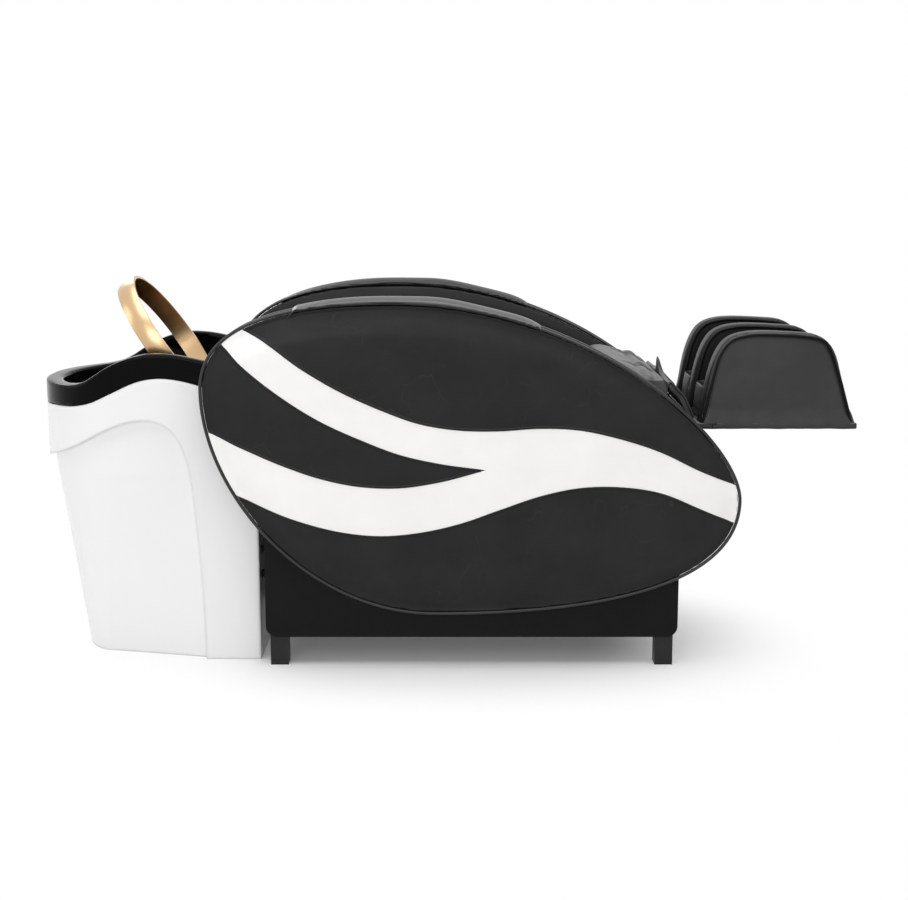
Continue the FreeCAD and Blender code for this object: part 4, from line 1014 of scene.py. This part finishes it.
def cushion_shape(channels, seed, nose=None):
    """Sewn channels, soft creases that run off them, rounded sides and, on the seat, the nose."""

    def shape(places):
        x, y, z = places.T
        top = smooth_step(z, 0.715, 0.752)
        depth = 1.0 - (0.75 * smooth_step(x, 0.46, 0.50) if nose else 0.0)
        fold = depth * sum(channel_fold(places, line, seed) for line in channels)
        flat = places * (1.0, 1.0, 0.0)
        crease = uneven(flat, (9, 7, 1), seed + 7) + 0.5 * uneven(flat, (24, 16, 1), seed + 9)
        drop = fold + 0.0022 * crease + 0.010 * smooth_step(np.abs(y), 0.20, 0.292)
        if nose:
            drop += 0.026 * smooth_step(x, nose[0], nose[1])
            for y_line, slant in NOSE_FOLDS:
                bend = y_line + slant * (x - 0.52) + 0.010 * uneven(flat, (14, 0, 1), seed + y_line)
                drop += 0.012 * pulse(y - bend, 0.008) * smooth_step(x, 0.44, 0.52)
                drop -= 0.005 * pulse(y - bend - 0.03, 0.022) * smooth_step(x, 0.44, 0.54)
            drop += 0.0045 * uneven(flat, (16, 9, 1), seed + 5) * smooth_step(x, 0.44, 0.54)
            z = z - 0.030 * fall(z, 0.642, 0.69) * smooth_step(x, 0.556, 0.564)
        side = smooth_step(np.abs(y), 0.262, 0.292) * smooth_step(z, 0.655, 0.70) * (1 - top)
        return np.stack([x, y - np.copysign(0.004 * side * (0.6 + crease), y), z - drop * top], axis=1)

    return shape


cushions = (
    ("seat_pad", "seat_cushion", "base", SEAT_CHANNELS, 2.0, SEAT_NOSE),
    ("back_pad", "back_cushion", "back", BACK_CHANNELS, 11.0, None),
)
for name, node, body, channels, seed, nose in cushions:
    pad = stuffed(name, merged(node, grow=-0.004), "cushion_leather", voxel=0.0075, cap=0.010,
                  held=cushion_held(channels), pressure=4.0, frames=12,
                  shape=cushion_shape(channels, seed, nose))
    stands_in(pad, node, body)


# Calf unit: three walls, two floors and the leather cover under them

CALF_HEAD, CALF_BOTTOM = 0.6494, 0.592
CALF_SHARES = [
    (0.0, 0.0), (0.050, 0.397), (0.102, 0.737), (0.179, 0.919), (0.284, 0.985), (0.403, 1.0),
    (0.627, 0.985), (0.766, 0.945), (0.835, 0.850), (0.903, 0.560), (0.960, 0.239), (1.0, 0.0),
]
WALLS = (("left", 0.210), ("middle", 0.0), ("right", -0.210))
WALL_HALF = 0.035
CALF_FLOOR_FOLDS = (0.79, 0.92)
# A wall's foot swells outwards and to the foot end, and its skirt hangs over the tray's cover
FOOT_FLARE, FOOT_REACH, SKIRT_DROP = 0.0105, 0.0075, 0.0130


def wall_outline(box, inwards=0.0):
    """Points (x, z) round a calf wall's arched edge, drawn in by a distance."""
    low, high = box
    points = np.array([(low[0] + u * (high[0] - low[0]), low[2] + v * (high[2] - low[2]))
                       for u, v in CALF_SHARES])
    marks = np.linspace(0, len(points) - 1, 221)
    slopes = np.gradient(points, axis=0)
    spans = np.clip(marks.astype(int), 0, len(points) - 2)
    line = smooth_between(points, slopes, spans, (marks - spans)[:, None])
    return moved_aside(line, np.gradient(line, axis=0), inwards)


def calf_wall(name, middle):
    """One padded wall with its outer edge band, and piping and a thread on both its faces."""
    node = f"calf_wall_{name}"
    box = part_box(node)
    edge = wall_outline(box)
    seed = middle * 13 + 5

    def seam_distance(places):
        inner = line_distance(places, edge)
        return np.hypot(inner - 0.010, np.abs(places[:, 1] - middle) - WALL_HALF + 0.002)

    def held(places):
        sewn = fall(seam_distance(places), 0.004, 0.022)
        return np.where(places[:, 2] < CALF_BOTTOM + 0.018, 1.0, sewn)

    def shape(places):
        x, y, z = places.T
        seam = pulse(seam_distance(places), 0.0055)
        sign = np.sign(y - middle)
        face = smooth_step(np.abs(y - middle), WALL_HALF - 0.012, WALL_HALF - 0.002)
        crease = uneven(places, (11, 5, 11), seed) + 0.6 * uneven(places, (30, 0, 16), seed)
        low = fall(z, CALF_BOTTOM + 0.01, CALF_BOTTOM + 0.06)
        ripple = uneven(places, (34, 0, 0), seed + 4) * low
        shift = face * (0.0012 * crease + 0.0028 * ripple) - 0.0024 * seam
        foot = fall(z, CALF_BOTTOM + 0.014, CALF_BOTTOM + 0.05)
        outside = sign == np.sign(middle)
        shift += FOOT_FLARE * foot * outside
        x = x + FOOT_REACH * foot * smooth_step(x, 1.0, 1.04)
        skirt = np.maximum(face * outside, smooth_step(x, 1.040, 1.048))
        z = z - SKIRT_DROP * skirt * fall(z, CALF_BOTTOM + 0.016, CALF_BOTTOM + 0.05)
        return np.stack([x, y + sign * shift, z - 0.0014 * seam - 0.003 * ripple * (1 - face)], axis=1)

    # The middle and left walls' faces take the darker copy: painted shade in the channels behind the
    # near wall
    face_leather = "calf_leather" if name == "right" else "calf_inner_leather"
    pad = stuffed(f"calf_wall_pad_{name}", merged(node, grow=-0.0025), face_leather, voxel=0.006,
                  cap=0.006, held=held, pressure=4.0, frames=12, shape=shape)
    # The edge band takes the darker copy of the calf leather: painted shade
    pad.data.materials.append(FINISHES["calf_band_leather"])
    for face in pad.data.polygons:
        face.material_index = int(abs(face.normal.y) < EDGE_NORMAL)
    stands_in(pad, node, "calf_unit")
    lines, threads = [], []
    for sign in (1, -1):
        y = middle + sign * (WALL_HALF - 0.0005)
        lines.append([Vector((x, y, z)) for x, z in wall_outline(box, 0.0095)])
        threads.append([Vector((x, y + sign * 0.0006, z)) for x, z in wall_outline(box, 0.0165)])
    piping = beads(f"calf_piping_{name}", lines, 0.0036, "plinth_leather", "calf_unit")
    thread = stitches(f"calf_thread_{name}", threads, "calf_unit")


for name, middle in WALLS:
    calf_wall(name, middle)


def calf_floor_held(places):
    """Held flat underneath."""
    return np.where(places[:, 2] < CALF_BOTTOM + 0.03, 1.0, 0.0)


def calf_floor_shape(places):
    """Two sewn folds across the channel's floor, which slopes down towards the seat."""
    x, y, z = places.T
    top = smooth_step(z, 0.690, 0.708)
    fold = sum(0.006 * pulse(x - line, 0.005) + 0.004 * pulse(x - line, 0.018)
               for line in CALF_FLOOR_FOLDS)
    fold += 0.0012 * uneven(places, (12, 12, 0), 4.0) + 0.062 * fall(x, 0.655, 0.76)
    return np.stack([x, y, z - fold * top], axis=1)


for side in ("left", "right"):
    pad = stuffed(f"calf_floor_pad_{side}", merged(f"calf_floor_{side}", grow=-0.003), "calf_leather",
                  voxel=0.007, cap=0.006, held=calf_floor_held, pressure=4.0, frames=10,
                  shape=calf_floor_shape)
    stands_in(pad, f"calf_floor_{side}", "calf_unit")


def calf_cover():
    """The leather that is folded round the tray, slightly wavy at its rim."""
    foot_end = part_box("calf_tray")[1][0]
    bm = bmesh.new()
    bmesh.ops.create_cube(bm, size=1.0)
    bmesh.ops.scale(bm, vec=(foot_end - 0.6470, 0.503, 0.0155), verts=bm.verts)
    bmesh.ops.translate(bm, vec=((0.6480 + foot_end) / 2, 0, 0.5978), verts=bm.verts)
    bmesh.ops.bevel(bm, geom=bm.edges[:], offset=0.004, segments=3, profile=0.5, material=-1,
                    affect="EDGES")
    for way, cuts in ((Vector((1, 0, 0)), [CALF_HEAD + 0.012 * step for step in range(1, 34)]),
                      (Vector((0, 1, 0)), [0.02 * step for step in range(-12, 13)])):
        for cut in cuts:
            bmesh.ops.bisect_plane(bm, geom=[*bm.verts, *bm.edges, *bm.faces], plane_co=way * cut,
                                   plane_no=way)
    for vert in bm.verts:
        wave = noise.noise(Vector((vert.co.x * 24, vert.co.y * 16, 3.0)))
        vert.co.z += 0.0016 * wave
        vert.co.y += math.copysign(0.0012, vert.co.y) * wave
    return bm


# Black leather, made dark enough to stand in for the shadow line under the walls: partly painted shade
cover = new_piece("calf_tray_cover", calf_cover(), "piping_leather")
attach(cover, "calf_unit")

# Seat flap: loose leather that bridges the seat's nose and the calf unit

FLAP_HALF = 0.236
# How much of its width curls back at the near edge, and how far
CURL_SHARE, CURL_DEPTH = 0.035, 0.016
FLAP_PROFILE = [
    (0.5735, 0.672), (0.5740, 0.690), (0.5765, 0.703), (0.5820, 0.706), (0.5890, 0.702),
    (0.5970, 0.694), (0.6060, 0.683), (0.6150, 0.671), (0.6220, 0.658), (0.6280, 0.645),
    (0.6330, 0.634), (0.6380, 0.624), (0.6420, 0.614),
]


def flap_place(u, v):
    """A point of the flap: u across the bed, v down from the seat."""
    points = np.array(FLAP_PROFILE)
    spot = v * (len(points) - 1)
    index = min(int(spot), len(points) - 2)
    t = spot - index
    before, after = points[max(index - 1, 0)], points[min(index + 2, len(points) - 1)]
    start, stop = points[index], points[index + 1]
    x, z = 0.5 * (2 * start + (stop - before) * t
                  + (2 * before - 5 * start + 4 * stop - after) * t * t
                  + (3 * start - before - 3 * stop + after) * t ** 3)
    y = (max(u, CURL_SHARE) - 0.5) * 2 * FLAP_HALF
    curl = CURL_DEPTH * max(0.0, 1.0 - u / CURL_SHARE) * (1.0 - pulse(v, 0.22))
    x -= 0.83 * curl
    z -= 0.56 * curl
    loose = math.sin(math.pi * v)
    low = noise.noise(Vector((y * 7, v * 2.2, 1.0)))
    fine = noise.noise(Vector((y * 22, v * 6, 5.0)))
    fold = noise.noise(Vector((y * 12, 0.0, 9.0)))
    x += loose * (0.005 * low + 0.002 * fine + 0.004 * fold)
    z += loose * (0.006 * low + 0.002 * fine + 0.005 * fold)
    crest = pulse(v - 0.23, 0.085)
    z += crest * (0.034 * pulse(y + 0.005, 0.013) + 0.008 * pulse(y - 0.02, 0.05))
    x -= crest * 0.006 * pulse(y + 0.005, 0.02)
    return Vector((x, y + 0.004 * loose * fine, z))


flap = new_piece("seat_flap_sheet", shaped_grid(120, 60, flap_place), "cushion_leather")
solid = flap.modifiers.new("leather", "SOLIDIFY")
solid.thickness = 0.0022
solid.offset = 0.0
settled(flap)
soft_shaded(flap.data)
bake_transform(flap)
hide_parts("seat_flap")

hem_line = [flap_place(CURL_SHARE, v) for v in np.linspace(0.14, 0.97, 28)]
hem = new_piece("seat_flap_hem", bead_lines([hem_line], 0.0035, False, 3), "cushion_leather")
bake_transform(hem)

# Link hoses: two short arcs between the pedestal and the base box

HOSE_SUNK, HOSE_RISE = 0.006, 0.012

for name in ("upper", "lower"):
    low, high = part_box(f"link_hose_{name}")
    z = (low[2] + high[2]) / 2
    y = (low[1] + high[1]) / 2
    start, stop = low[0] - HOSE_SUNK, high[0] + HOSE_SUNK
    arc = [Vector((start + (stop - start) * t, y, z + HOSE_RISE * math.sin(math.pi * t) - 0.003))
           for t in np.linspace(0.0, 1.0, 17)]
    hose = bead_lines([arc], (high[2] - low[2]) / 2 - 0.0005, False, 4)
    stands_in(new_piece(f"link_hose_arc_{name}", hose, "soft_rubber"), f"link_hose_{name}")


# Moulded pieces with softened edges


def softened(name, node, finish, voxel, passes):
    """A moulded piece from its solid, with all its edges rounded over by smoothing."""
    piece = new_piece(name, merged(node), finish)
    remesh(piece, voxel)
    smooth = piece.modifiers.new("smooth", "SMOOTH")
    smooth.factor = 0.5
    smooth.iterations = passes
    return stands_in(finished(settled(piece), finish), node)


softened("basin_moulding", "wash_basin", "black_gloss", voxel=0.004, passes=14)
neck = softened("neck_pad", "neck_rest", "soft_rubber", voxel=0.003, passes=8)
